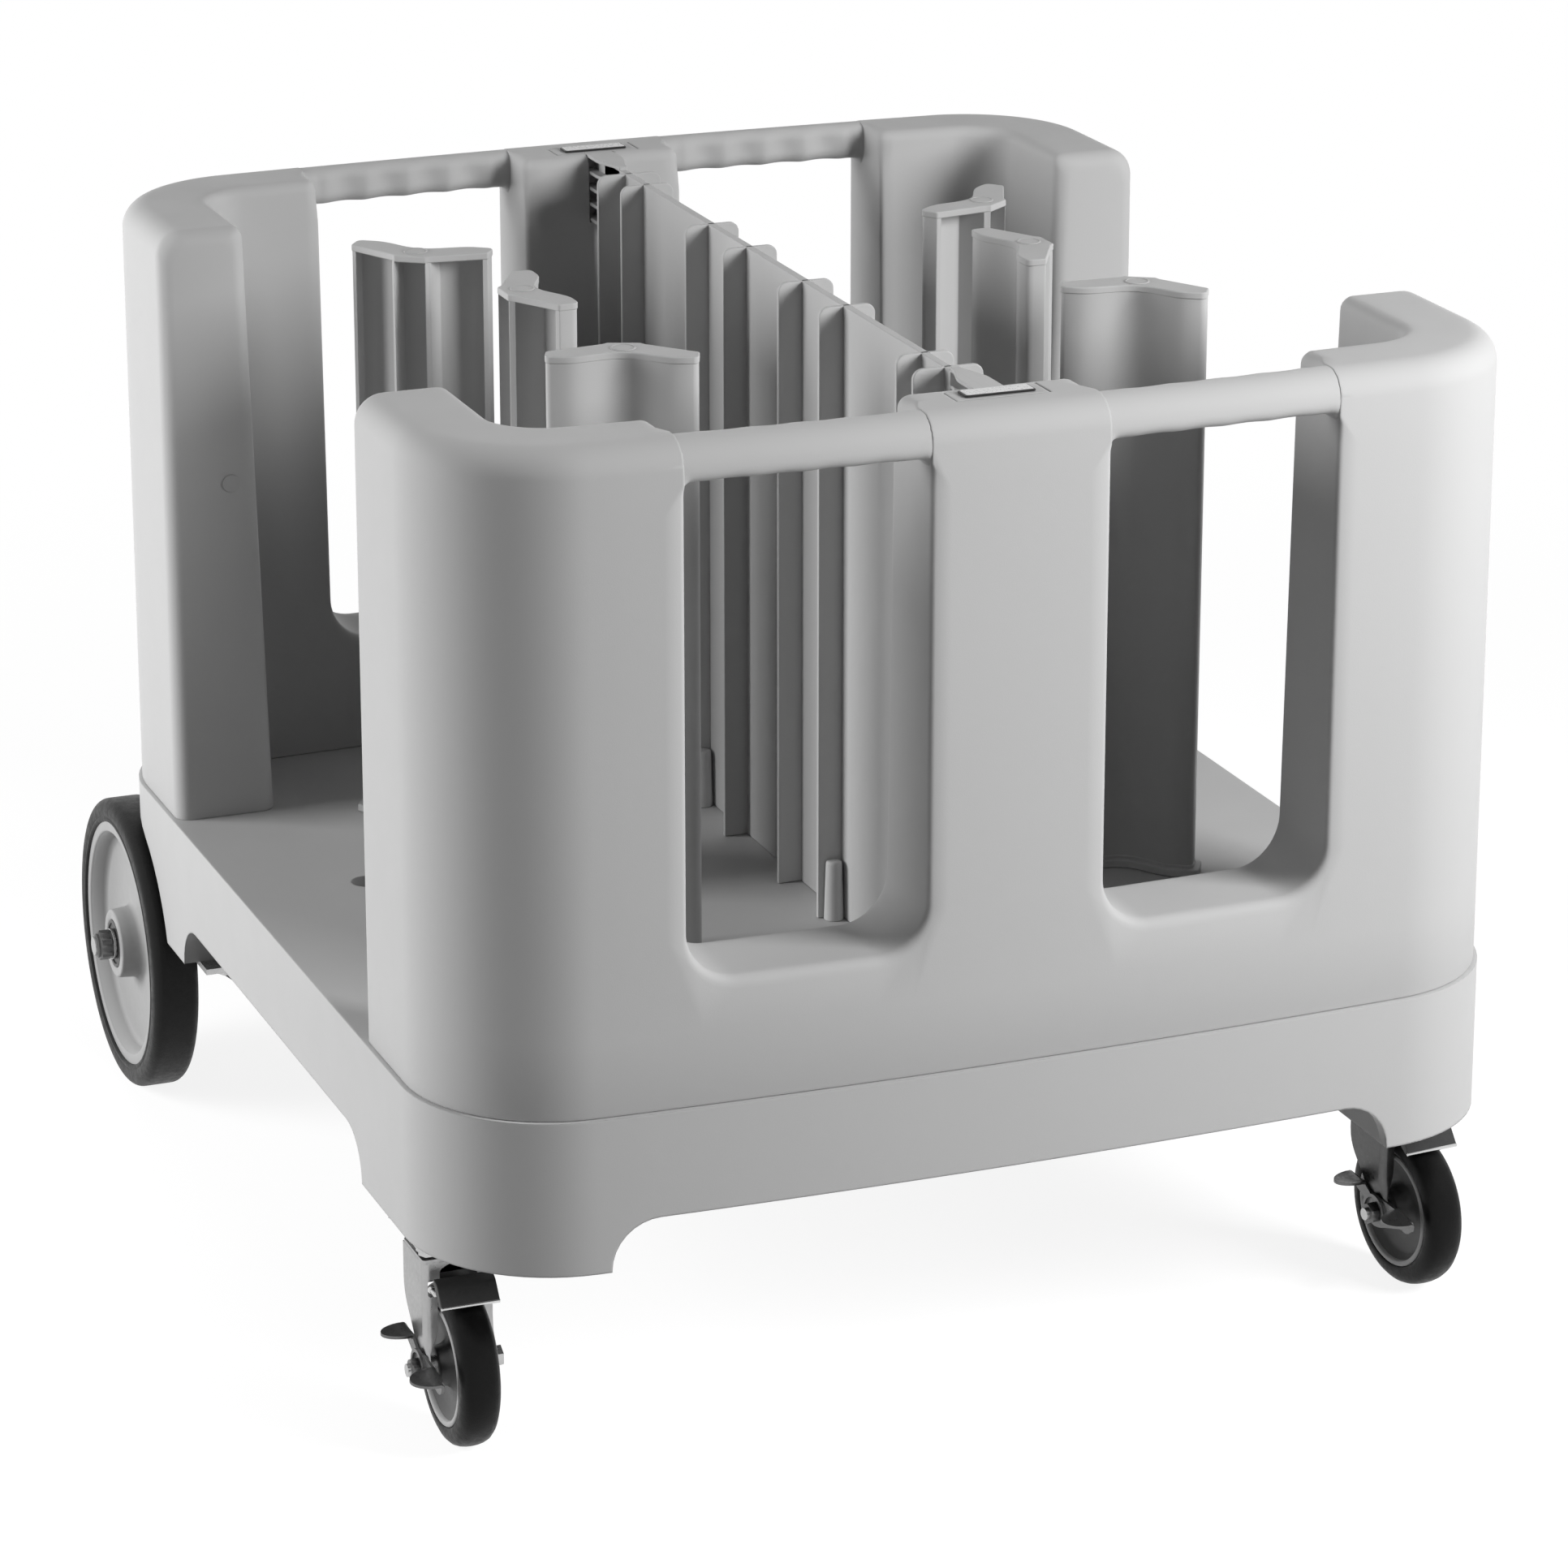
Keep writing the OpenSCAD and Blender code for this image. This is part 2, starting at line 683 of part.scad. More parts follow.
// Whole outline of a divider in plan, moved out by step
function divider_outline(step) =
  concat(dish_line(step),
         [[divider_half_w + step, wing_t + step], [boss_shoulder + step, divider_d - boss_drop + step],
          [boss_flat, divider_d + step], [-boss_flat, divider_d + step],
          [-boss_shoulder - step, divider_d - boss_drop + step], [-divider_half_w - step, wing_t + step]]);

// One half cell behind the dished skin
module divider_hollow() {
  wing_slope = (divider_d - boss_drop - wing_t) / (divider_half_w - boss_shoulder);
  wing_u = divider_half_w - skin_t;
  rib_u = channel_half_w + channel_rib_t;
  half_steps = dish_steps / 2;
  deep = divider_d + over;
  polygon(concat(
    [for (i = [0:half_steps]) let (u = rib_u + (wing_u - rib_u) * i / half_steps)
      [u, skin_t + (u < dish_half_w ? dish_d * (1 + cos(180 * u / dish_half_w)) / 2 : 0)]],
    [[wing_u, deep], [rib_u, deep]]));
}

module plate_divider(i) {
  on_cart() color(grey) divider_place(i) translate([0, 0, seat_gap]) {
    difference() {
      linear_extrude(divider_h) polygon(divider_outline(0));
      translate([0, 0, foot_t]) linear_extrude(divider_h - foot_t - cap_t) {
        for (side = [0, 1]) mirror([side, 0]) divider_hollow();
        translate([-channel_half_w, dish_d + skin_t]) square([2 * channel_half_w, divider_d]);
      }
    }
    linear_extrude(foot_t) polygon(divider_outline(foot_step));
    translate([0, boss_v, divider_h]) cylinder(r = boss_r, h = boss_h);
    translate([0, boss_v, -peg_l]) cylinder(r = peg_r, h = peg_l + over);
    translate([-key_u, key_v, -peg_l]) cylinder(r = key_peg_r, h = peg_l + over);
  }
}

// Along X from the origin, for pieces that turn on the axle
module along_x() rotate([0, 90, 0]) children();

module on_axle() translate([0, axle_y, axle_z]) children();

module rear_axle() {
  shank_end = wheel_mid_x + hub_half_l;
  on_cart() on_axle() color(zinc) along_x() {
    translate([0, 0, -shank_end]) cylinder(r = axle_r, h = 2 * shank_end);
    translate([0, 0, -axle_end]) cylinder(r = thread_r, h = 2 * axle_end);
  }
}

module bracket_bolt_places() {
  front_y = bracket_front_y + (bracket_front_l - bracket_bolt_step) / 2;
  for (y = [front_y, front_y + bracket_bolt_step])
    translate([bracket_x - bracket_t + bracket_out / 2, y, foot_z]) children();
  translate([bracket_x - bracket_t - bracket_in / 2, bracket_rear_y + bracket_rear_l / 2, foot_z]) children();
}

module axle_bracket(side) {
  web_x = bracket_x - bracket_t;
  on_side(side) color(zinc) difference() {
    union() {
      side_prism(web_x + bracket_t / 2, bracket_t) {
        polygon([[bracket_front_y, foot_z], [bracket_front_y, foot_z - bracket_web_h],
          [axle_y - bracket_eye_r, axle_z - bracket_eye_r / 2],
          [axle_y + bracket_eye_r, axle_z - bracket_eye_r / 2],
          [bracket_rear_y + bracket_rear_l, foot_z - bracket_web_h],
          [bracket_rear_y + bracket_rear_l, foot_z]]);
        translate([axle_y, axle_z]) circle(bracket_eye_r);
      }
      slab(web_x, web_x + bracket_out, bracket_front_y, bracket_front_y + bracket_front_l,
        foot_z - bracket_flange_t, foot_z);
      slab(web_x - bracket_in + bracket_t, web_x + bracket_t, bracket_rear_y,
        bracket_rear_y + bracket_rear_l, foot_z - bracket_flange_t, foot_z);
    }
    on_axle() along_x() cylinder(r = axle_r, h = base_w / 2);
    bracket_bolt_places() translate([0, 0, -bracket_flange_t - over])
      cylinder(r = bolt_r + bolt_gap, h = bracket_flange_t + 2 * over);
  }
}

module axle_bracket_bolts() {
  for (side = [-1, 1]) on_side(side) color(zinc) bracket_bolt_places()
    translate([0, 0, -bracket_flange_t]) flange_bolt(bracket_flange_t + bolt_bite - over);
}

module axle_spacer(side) {
  near = bracket_x;
  far = wheel_mid_x - hub_half_l - side_gap;
  on_side(side) on_axle() color(zinc) translate([near, 0, 0]) along_x() difference() {
    cylinder(r = spacer_r, h = far - near);
    translate([0, 0, -over]) cylinder(r = axle_r, h = far - near + 2 * over);
  }
}

module on_wheel(side) on_side(side) on_axle() translate([wheel_mid_x, 0, 0]) along_x() children();

module wheel_hub(side) {
  half_disc = hub_disc_t / 2;
  on_wheel(side) color(pale) difference() {
    rotate_extrude() polygon([
      [hub_bore_r, -hub_half_l], [hub_r, -hub_half_l], [hub_r + hub_web_out, -half_disc],
      [rim_seat_r - hub_rim_t - hub_web_out, -half_disc], [rim_seat_r - hub_rim_t, -hub_rim_half_w],
      [rim_seat_r, -hub_rim_half_w], [rim_seat_r, hub_rim_half_w],
      [rim_seat_r - hub_rim_t, hub_rim_half_w], [rim_seat_r - hub_rim_t - hub_web_out, half_disc],
      [hub_r + hub_web_out, half_disc], [hub_r, hub_half_l], [hub_bore_r, hub_half_l]]);
    for (z = [-hub_half_l - over, hub_half_l - bearing_w])
      translate([0, 0, z]) cylinder(r = bearing_r, h = bearing_w + over);
  }
}

module wheel_tyre(side) {
  half_w = wheel_w / 2;
  on_wheel(side) color(black) rotate_extrude() polygon(concat(
    [[rim_seat_r, -hub_rim_half_w], [rim_seat_r + over, -half_w]],
    arc(wheel_r - tyre_shoulder, tyre_shoulder - half_w, tyre_shoulder, 270, 360),
    arc(wheel_r - tyre_shoulder, half_w - tyre_shoulder, tyre_shoulder, 0, 90),
    [[rim_seat_r + over, half_w], [rim_seat_r, hub_rim_half_w]]));
}

module ball_bearing() {
  half_w = bearing_w / 2;
  bore_r = axle_r + run_gap;
  shield = half_w - bearing_shield_in;
  rotate_extrude() polygon([
    [bore_r, -half_w], [bore_r + bearing_race_t, -half_w], [bore_r + bearing_race_t, -shield],
    [bearing_r - bearing_race_t, -shield], [bearing_r - bearing_race_t, -half_w],
    [bearing_r, -half_w], [bearing_r, half_w], [bearing_r - bearing_race_t, half_w],
    [bearing_r - bearing_race_t, shield], [bore_r + bearing_race_t, shield],
    [bore_r + bearing_race_t, half_w], [bore_r, half_w]]);
}

module wheel_bearings(side) {
  middle = hub_half_l - bearing_w / 2;
  on_wheel(side) color(zinc) for (z = [-middle, middle]) translate([0, 0, z]) ball_bearing();
}

module axle_washers(side) {
  on_wheel(side) color(zinc) translate([0, 0, hub_half_l + side_gap]) difference() {
    cylinder(r = washer_r, h = washer_t);
    translate([0, 0, -over]) cylinder(r = thread_r, h = washer_t + 2 * over);
  }
}

module axle_nut(side) {
  on_wheel(side) color(zinc) translate([0, 0, hub_half_l + side_gap + washer_t]) difference() {
    union() {
      cylinder(r = wheel_nut_r, h = wheel_nut_t, $fn = nut_hex_sides);
      cylinder(r = wheel_nut_collar_r, h = wheel_nut_t + wheel_nut_collar_t);
    }
    translate([0, 0, -over]) cylinder(r = thread_r, h = wheel_nut_t + wheel_nut_collar_t + 2 * over);
  }
}

// A castor's own frame: the swivel axis is its Z axis, the wheel trails to -Y
module at_castor(side, turned = true) {
  turn = side < 0 ? left_castor_turn : right_castor_turn;
  on_cart() translate([side * castor_x, -castor_y, 0]) rotate([0, 0, turned ? turn : 0]) children();
}

module on_castor_axle() translate([0, -castor_trail, castor_r]) children();

module castor_bolt_holes(r, depth) {
  for (x = [-castor_bolt_x, castor_bolt_x], y = [-castor_bolt_y, castor_bolt_y])
    translate([x, y, 0]) cylinder(r = r, h = depth);
}

module castor_plate(side) {
  at_castor(side, false) color(zinc) difference() {
    union() {
      translate([0, 0, foot_z - castor_plate_t]) linear_extrude(castor_plate_t)
        polygon(round_rect(castor_plate_w / 2, castor_plate_l / 2, castor_plate_corner_r));
      translate([0, 0, foot_z - castor_plate_t - race_h]) cylinder(r = race_r, h = race_h + over);
    }
    translate([0, 0, crown_z]) cylinder(r = kingpin_r, h = foot_z - crown_z + over);
    translate([0, 0, foot_z - castor_plate_t - over])
      castor_bolt_holes(bolt_r + bolt_gap, castor_plate_t + 2 * over);
  }
}

module castor_bolts(side) {
  at_castor(side, false) color(zinc)
    for (x = [-castor_bolt_x, castor_bolt_x], y = [-castor_bolt_y, castor_bolt_y])
      translate([x, y, foot_z - castor_plate_t]) flange_bolt(castor_plate_t + bolt_bite - over);
}

module castor_kingpin(side) {
  foot = crown_z - crown_t - side_gap;
  at_castor(side, false) color(dark_steel) {
    translate([0, 0, foot - kingpin_head_h]) cylinder(r = kingpin_head_r, h = kingpin_head_h);
    translate([0, 0, foot - over]) cylinder(r = kingpin_r, h = foot_z - foot);
  }
}

module castor_balls(side) {
  at_castor(side, false) color(dark_steel) for (i = [0:ball_count - 1])
    rotate([0, 0, 360 * i / ball_count])
      translate([ball_ring_r, 0, crown_z + crown_gap / 2]) sphere(ball_r, $fn = 32);
}

// Side view of a fork leg, from the crown down round the axle
module leg_shape() {
  axle_p = [-castor_trail, castor_r];
  difference() {
    union() {
      polygon([[-leg_front, axle_p[1]], [-leg_front, crown_z], [leg_rear, crown_z],
        [leg_rear, leg_knee_z], [leg_waist_y, leg_waist_z], [axle_p[0] + axle_eye_r, axle_p[1]]]);
      translate(axle_p) circle(axle_eye_r);
    }
    translate(axle_p) circle(castor_axle_r);
  }
}

// Inward lip along a leg's front edge, slotted for the brake shoe's stud
module leg_lip() {
  difference() {
    end_prism(-leg_front, lip_t) polygon([[fork_half_w - lip_w, crown_z], [fork_half_w, crown_z],
      [fork_half_w, lip_foot_z], [fork_half_w - leg_t, lip_foot_z], [fork_half_w - lip_w, lip_shoulder_z]]);
    translate([stud_x - slot_w / 2, -2 * leg_front, stud_z - slot_h / 2]) cube([slot_w, 2 * leg_front, slot_h]);
  }
}

module castor_fork(side) {
  at_castor(side) color(zinc) {
    difference() {
      translate([0, 0, crown_z - crown_t]) linear_extrude(crown_t) difference() {
        polygon([[-fork_half_w, -leg_front], [fork_half_w, -leg_front], [fork_half_w, leg_rear],
          [-fork_half_w, leg_rear]]);
        circle(kingpin_r + run_gap);
      }
    }
    for (s = [0, 1]) mirror([s, 0, 0]) {
      side_prism(fork_half_w - leg_t / 2, leg_t) leg_shape();
      leg_lip();
    }
  }
}

module castor_bush(side) {
  half_l = fork_half_w - leg_t;
  at_castor(side) on_castor_axle() color(zinc) along_x() difference() {
    translate([0, 0, -half_l]) cylinder(r = castor_bush_r, h = 2 * half_l);
    translate([0, 0, -half_l - over]) cylinder(r = castor_axle_r, h = 2 * half_l + 2 * over);
  }
}

module castor_core(side) {
  half_w = castor_w / 2;
  half_disc = castor_disc_t / 2;
  ring_r = castor_rim_r - castor_ring_t;
  at_castor(side) on_castor_axle() color(dark_steel) along_x() rotate_extrude() polygon([
    [castor_bush_r + run_gap, -castor_hub_half_l], [castor_hub_r, -castor_hub_half_l],
    [castor_hub_r + castor_ring_t, -half_disc], [ring_r - castor_ring_t, -half_disc], [ring_r, -half_w],
    [castor_rim_r, -half_w], [castor_rim_r, half_w], [ring_r, half_w], [ring_r - castor_ring_t, half_disc],
    [castor_hub_r + castor_ring_t, half_disc], [castor_hub_r, castor_hub_half_l],
    [castor_bush_r + run_gap, castor_hub_half_l]]);
}

module castor_tyre(side) {
  half_w = castor_w / 2;
  at_castor(side) on_castor_axle() color(black) along_x() rotate_extrude() polygon(concat(
    [[castor_rim_r, -half_w + over], [castor_rim_r + over, -half_w]],
    arc(castor_r - castor_shoulder, castor_shoulder - half_w, castor_shoulder, 270, 360),
    arc(castor_r - castor_shoulder, half_w - castor_shoulder, castor_shoulder, 0, 90),
    [[castor_rim_r + over, half_w], [castor_rim_r, half_w - over]]));
}

module castor_axle_bolt(side) {
  nut_end = fork_half_w + lever_t + 2 * side_gap + castor_nut_t + castor_bolt_end;
  at_castor(side) on_castor_axle() color(zinc) along_x() {
    translate([0, 0, -nut_end]) cylinder(r = castor_axle_r, h = nut_end + fork_half_w + over);
    translate([0, 0, fork_half_w]) cylinder(r = castor_head_r, h = castor_head_t, $fn = nut_hex_sides);
  }
}

module castor_axle_nut(side) {
  near = fork_half_w + lever_t + 2 * side_gap;
  at_castor(side) on_castor_axle() color(zinc) along_x() translate([0, 0, -near - castor_nut_t])
    difference() {
      cylinder(r = castor_nut_r, h = castor_nut_t, $fn = nut_hex_sides);
      translate([0, 0, -over]) cylinder(r = castor_axle_r, h = castor_nut_t + 2 * over);
    }
}

// Foot tab standing out of the brake lever's end
module lever_tab(p) {
  translate([-lever_tab_l / 2, p[0], p[1]]) linear_extrude(lever_tab_t) {
    polygon(round_rect(lever_tab_l / 2, lever_tab_w / 2, lever_tab_w / 3));
  }
}

module brake_lever(side) {
  inner_x = -fork_half_w - side_gap;
  at_castor(side) on_castor_axle() color(dark_steel) {
    difference() {
      side_prism(inner_x - lever_t / 2, lever_t) {
        circle(lever_eye_r);
        polygon([[-lever_half_w, -lever_half_w], [lever_half_w, -lever_half_w],
          [lever_rear[0] + lever_half_w, lever_rear[1] - lever_half_w / 2],
          [lever_rear[0] + lever_half_w, lever_rear[1] + lever_tab_t],
          [lever_rear[0] - lever_half_w, lever_rear[1] + lever_tab_t],
          [0, lever_half_w],
          [lever_front[0] + lever_half_w, lever_front[1] + lever_tab_t],
          [lever_front[0] - lever_half_w, lever_front[1] + lever_tab_t],
          [lever_front[0] - lever_half_w, lever_front[1] - lever_half_w]]);
      }
      translate([inner_x - 2 * lever_t, 0, 0]) along_x()
        cylinder(r = castor_axle_r + run_gap, h = 3 * lever_t);
    }
    translate([inner_x, 0, 0]) {
      lever_tab(lever_rear);
      lever_tab(lever_front);
    }
  }
}

module brake_shoe(side) {
  at_castor(side) color(zinc) {
    side_prism(0, 2 * shoe_half_w) polygon([shoe_top, shoe_bend, shoe_edge,
      [shoe_edge[0] - shoe_t, shoe_edge[1] + shoe_t / 2], [shoe_bend[0] - shoe_t, shoe_bend[1] + shoe_t],
      [shoe_top[0], shoe_top[1] + shoe_t]]);
    for (x = [-stud_x, stud_x]) translate([x, -stud_back, stud_z]) rotate([90, 0, 0])
      cylinder(r = stud_r, h = -shoe_edge[0] - stud_back - shoe_t);
  }
}

base_deck();
deck_pins();
end_panel(true);  // front_end_panel
end_panel(false);  // rear_end_panel
panel_bolts(true);  // front_panel_bolts
panel_bolts(false);  // rear_panel_bolts
vent_plugs(true);  // front_vent_plugs
vent_plugs(false);  // rear_vent_plugs
center_divider();
badge_plate(true);  // front_badge_plate
badge_plate(false);  // rear_badge_plate
plate_divider(0);  // left_rear_plate_divider
plate_divider(1);  // left_middle_plate_divider
plate_divider(2);  // left_front_plate_divider
plate_divider(3);  // right_rear_plate_divider
plate_divider(4);  // right_middle_plate_divider
plate_divider(5);  // right_front_plate_divider
rear_axle();
axle_bracket(-1);  // left_axle_bracket
axle_bracket(1);  // right_axle_bracket
axle_bracket_bolts();
axle_spacer(-1);  // left_axle_spacer
axle_spacer(1);  // right_axle_spacer
wheel_hub(-1);  // left_wheel_hub
wheel_hub(1);  // right_wheel_hub
wheel_tyre(-1);  // left_wheel_tyre
wheel_tyre(1);  // right_wheel_tyre
wheel_bearings(-1);  // left_wheel_bearings
wheel_bearings(1);  // right_wheel_bearings
axle_washers(-1);  // left_axle_washers
axle_washers(1);  // right_axle_washers
axle_nut(-1);  // left_axle_nut
axle_nut(1);  // right_axle_nut
castor_plate(-1);  // left_castor_plate
castor_plate(1);  // right_castor_plate
castor_bolts(-1);  // left_castor_bolts
castor_bolts(1);  // right_castor_bolts
castor_kingpin(-1);  // left_castor_kingpin
castor_kingpin(1);  // right_castor_kingpin
castor_balls(-1);  // left_castor_balls
castor_balls(1);  // right_castor_balls
castor_fork(-1);  // left_castor_fork
castor_fork(1);  // right_castor_fork
castor_bush(-1);  // left_castor_bush
castor_bush(1);  // right_castor_bush
castor_core(-1);  // left_castor_core
castor_core(1);  // right_castor_core
castor_tyre(-1);  // left_castor_tyre
castor_tyre(1);  // right_castor_tyre
castor_axle_bolt(-1);  // left_castor_axle_bolt
castor_axle_bolt(1);  // right_castor_axle_bolt
castor_axle_nut(-1);  // left_castor_axle_nut
castor_axle_nut(1);  // right_castor_axle_nut
brake_lever(-1);  // left_brake_lever
brake_lever(1);  // right_brake_lever
brake_shoe(-1);  // left_brake_shoe
brake_shoe(1);  // right_brake_shoe
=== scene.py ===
"""Dresses the plate dispenser cart and sets up its studio."""

import math

import bmesh
import bpy
from mathutils import Matrix, Vector


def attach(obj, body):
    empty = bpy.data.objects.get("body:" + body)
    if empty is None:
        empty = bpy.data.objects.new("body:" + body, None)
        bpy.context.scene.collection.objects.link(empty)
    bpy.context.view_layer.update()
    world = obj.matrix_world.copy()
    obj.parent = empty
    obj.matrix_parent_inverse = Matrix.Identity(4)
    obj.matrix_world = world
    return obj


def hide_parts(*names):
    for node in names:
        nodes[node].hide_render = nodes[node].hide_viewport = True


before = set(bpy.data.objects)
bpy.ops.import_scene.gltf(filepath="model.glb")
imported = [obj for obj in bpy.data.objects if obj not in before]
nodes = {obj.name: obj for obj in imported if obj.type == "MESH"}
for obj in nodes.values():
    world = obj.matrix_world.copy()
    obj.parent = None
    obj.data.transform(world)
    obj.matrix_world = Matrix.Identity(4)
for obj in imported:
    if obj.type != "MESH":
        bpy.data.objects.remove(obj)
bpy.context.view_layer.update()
scene = bpy.context.scene

# Sizes in millimetres, as in the solids. The cart's middle lies 35 mm in front of the frame's origin.
BODY_Y = -35.0
BASE_HALF_W, BASE_HALF_L, BASE_R, BASE_BOW = 440.0, 488.0, 118.0, 5800.0
DECK_Z, SKIRT_Z, FOOT_Z = 293.0, 211.0, 172.0
PANEL_H, INSET, T_FOOT, T_TOP = 505.0, 3.0, 86.0, 73.0
RETURN_Y, RIM_R, RIM_INNER_R, END_R, END_TOP_R = 262.0, 22.0, 10.0, 12.0, 14.0
WINDOW_IN, WINDOW_OUT, SILL_H, WINDOW_R = 71.0, 258.0, 97.0, 40.0
WAVE_PITCH, WAVE_DEPTH = 37.4, 3.4
WHEEL_X, WHEEL_Y, WHEEL_R = 431.0, 431.0, 127.0
CASTOR_X, CASTOR_Y, CASTOR_TRAIL, CASTOR_R = 400.0, 340.0, 22.0, 63.5
PANEL_W, PANEL_L = BASE_HALF_W - INSET, BASE_HALF_L - INSET
PANEL_R, PANEL_BOW = BASE_R - INSET, BASE_BOW - INSET
CORNER_X = PANEL_W - PANEL_R
BOW_Y = PANEL_L - PANEL_BOW
TURN = math.asin(CORNER_X / (PANEL_BOW - PANEL_R))
CORNER_Y = BOW_Y + (PANEL_BOW - PANEL_R) * math.cos(TURN)

FRONT = Matrix.Translation((0, BODY_Y, 0)) @ Matrix.Rotation(math.pi, 4, "Z")
REAR = Matrix.Translation((0, BODY_Y, 0))


# ---- mesh helpers


def arc(cx, cy, r, a, b, n=5):
    """Points of an arc from angle a to angle b in degrees."""
    turns = [math.radians(a + (b - a) * i / n) for i in range(n + 1)]
    return [(cx + r * math.cos(t), cy + r * math.sin(t)) for t in turns]


def new_object(name, verts, faces, place=None):
    """A mesh object from points in millimetres, its vertices in the row frame."""
    place = place or Matrix()
    mesh = bpy.data.meshes.new(name)
    mesh.from_pydata([(place @ Vector(v)) * 0.001 for v in verts], [], faces)
    mesh.validate()
    bm = bmesh.new()
    bm.from_mesh(mesh)
    bmesh.ops.remove_doubles(bm, verts=bm.verts, dist=1e-6)
    bmesh.ops.recalc_face_normals(bm, faces=bm.faces)
    bm.to_mesh(mesh)
    bm.free()
    ob = bpy.data.objects.new(name, mesh)
    scene.collection.objects.link(ob)
    return ob


def skin(rings, loop=False):
    """Points and faces of a surface over closed rings, capped at both ends unless it loops."""
    n = len(rings[0])
    verts = [p for ring in rings for p in ring]
    faces = []
    for i in range(len(rings) if loop else len(rings) - 1):
        a, b = i * n, (i + 1) % len(rings) * n
        for k in range(n):
            m = (k + 1) % n
            faces.append((a + k, a + m, b + m, b + k))
    if not loop:
        faces.append(tuple(reversed(range(n))))
        faces.append(tuple(range((len(rings) - 1) * n, len(rings) * n)))
    return verts, faces


def prism(outline, low, high, axis="z"):
    """A straight prism over an outline; its axis is z, x or y."""

    def at(p, t):
        u, v = p
        return {"z": (u, v, t), "x": (t, u, v), "y": (u, t, v)}[axis]

    return skin([[at(p, low) for p in outline], [at(p, high) for p in outline]])


def lathe(profile, steps=96):
    """A closed profile of (radius, x) points turned about the X axis."""
    rings = []
    for i in range(steps):
        t = 2 * math.pi * i / steps
        rings.append([(x, r * math.cos(t), r * math.sin(t)) for r, x in profile])
    return skin(rings, loop=True)


def spun(profile, steps, cx=0.0, cy=0.0):
    """A profile of (radius, z) points turned about an upright line and capped at both ends."""
    turns = [2 * math.pi * k / steps for k in range(steps)]
    return skin([[(cx + r * math.cos(t), cy + r * math.sin(t), z) for t in turns] for r, z in profile])


def merge(*parts):
    """Several (points, faces) as one."""
    verts, faces = [], []
    for v, f in parts:
        base = len(verts)
        verts += list(v)
        faces += [tuple(i + base for i in face) for face in f]
    return verts, faces


def shifted(part, matrix):
    verts, faces = part
    return [tuple(matrix @ Vector(v)) for v in verts], faces


def box(x0, x1, y0, y1, z0, z1):
    return prism([(x0, y0), (x1, y0), (x1, y1), (x0, y1)], z0, z1)


def round_rect(hx, hy, r, n=6):
    return (
        arc(hx - r, hy - r, r, 0, 90, n)
        + arc(r - hx, hy - r, r, 90, 180, n)
        + arc(r - hx, r - hy, r, 180, 270, n)
        + arc(hx - r, r - hy, r, 270, 360, n)
    )


def rounded(points, r, n=4):
    """A closed outline with its corners rounded by r, less where the sides are short."""
    out = []
    count = len(points)
    for i, p in enumerate(points):
        a, b, c = Vector(points[i - 1]), Vector(p), Vector(points[(i + 1) % count])
        u, w = (a - b), (c - b)
        lu, lw = u.length, w.length
        u.normalize()
        w.normalize()
        angle = math.acos(max(-1.0, min(1.0, u.dot(w))))
        if angle > math.radians(172):
            out.append(tuple(p))
            continue
        reach = min(r / math.tan(angle / 2), 0.45 * lu, 0.45 * lw)
        s, e = b + u * reach, b + w * reach
        for k in range(n + 1):
            t = k / n
            q = s * (1 - t) ** 2 + b * 2 * t * (1 - t) + e * t**2
            out.append((q.x, q.y))
    return out


def baked(ob):
    """Applies an object's modifiers to its mesh."""
    graph = bpy.context.evaluated_depsgraph_get()
    mesh = bpy.data.meshes.new_from_object(ob.evaluated_get(graph))
    old = ob.data
    ob.modifiers.clear()
    ob.data = mesh
    bpy.data.meshes.remove(old)
    return ob


def carve(ob, cutters):
    """Cuts others out of an object; they are then gone."""
    for cutter in cutters:
        m = ob.modifiers.new("cut", "BOOLEAN")
        m.operation, m.object, m.solver = "DIFFERENCE", cutter, "EXACT"
        baked(ob)
        bpy.data.objects.remove(cutter)
    return ob


def dress(ob, mat, body=None, stands_for=(), bevel=0.0, segments=2, sharp=32.0):
    """Shading, edges, material and the piece's place in the frame."""
    mesh = ob.data
    mesh.materials.clear()
    mesh.materials.append(mat)
    mesh.shade_smooth()
    mesh.set_sharp_from_angle(angle=math.radians(sharp))
    if bevel:
        m = ob.modifiers.new("edges", "BEVEL")
        m.width, m.segments, m.limit_method = bevel * 0.001, segments, "ANGLE"
        m.angle_limit = math.radians(38)
        m.harden_normals = True
    if body:
        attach(ob, body)
    if stands_for:
        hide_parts(*stands_for)
    return ob


def twin(ob, name, matrix):
    """A copy of a piece whose vertices are moved by a matrix in millimetres."""
    m = Matrix.Scale(0.001, 4) @ matrix @ Matrix.Scale(1000, 4)
    copy = bpy.data.objects.new(name, ob.data.copy())
    copy.data.transform(m)
    if m.determinant() < 0:
        copy.data.flip_normals()
    scene.collection.objects.link(copy)
    return copy


# ---- materials


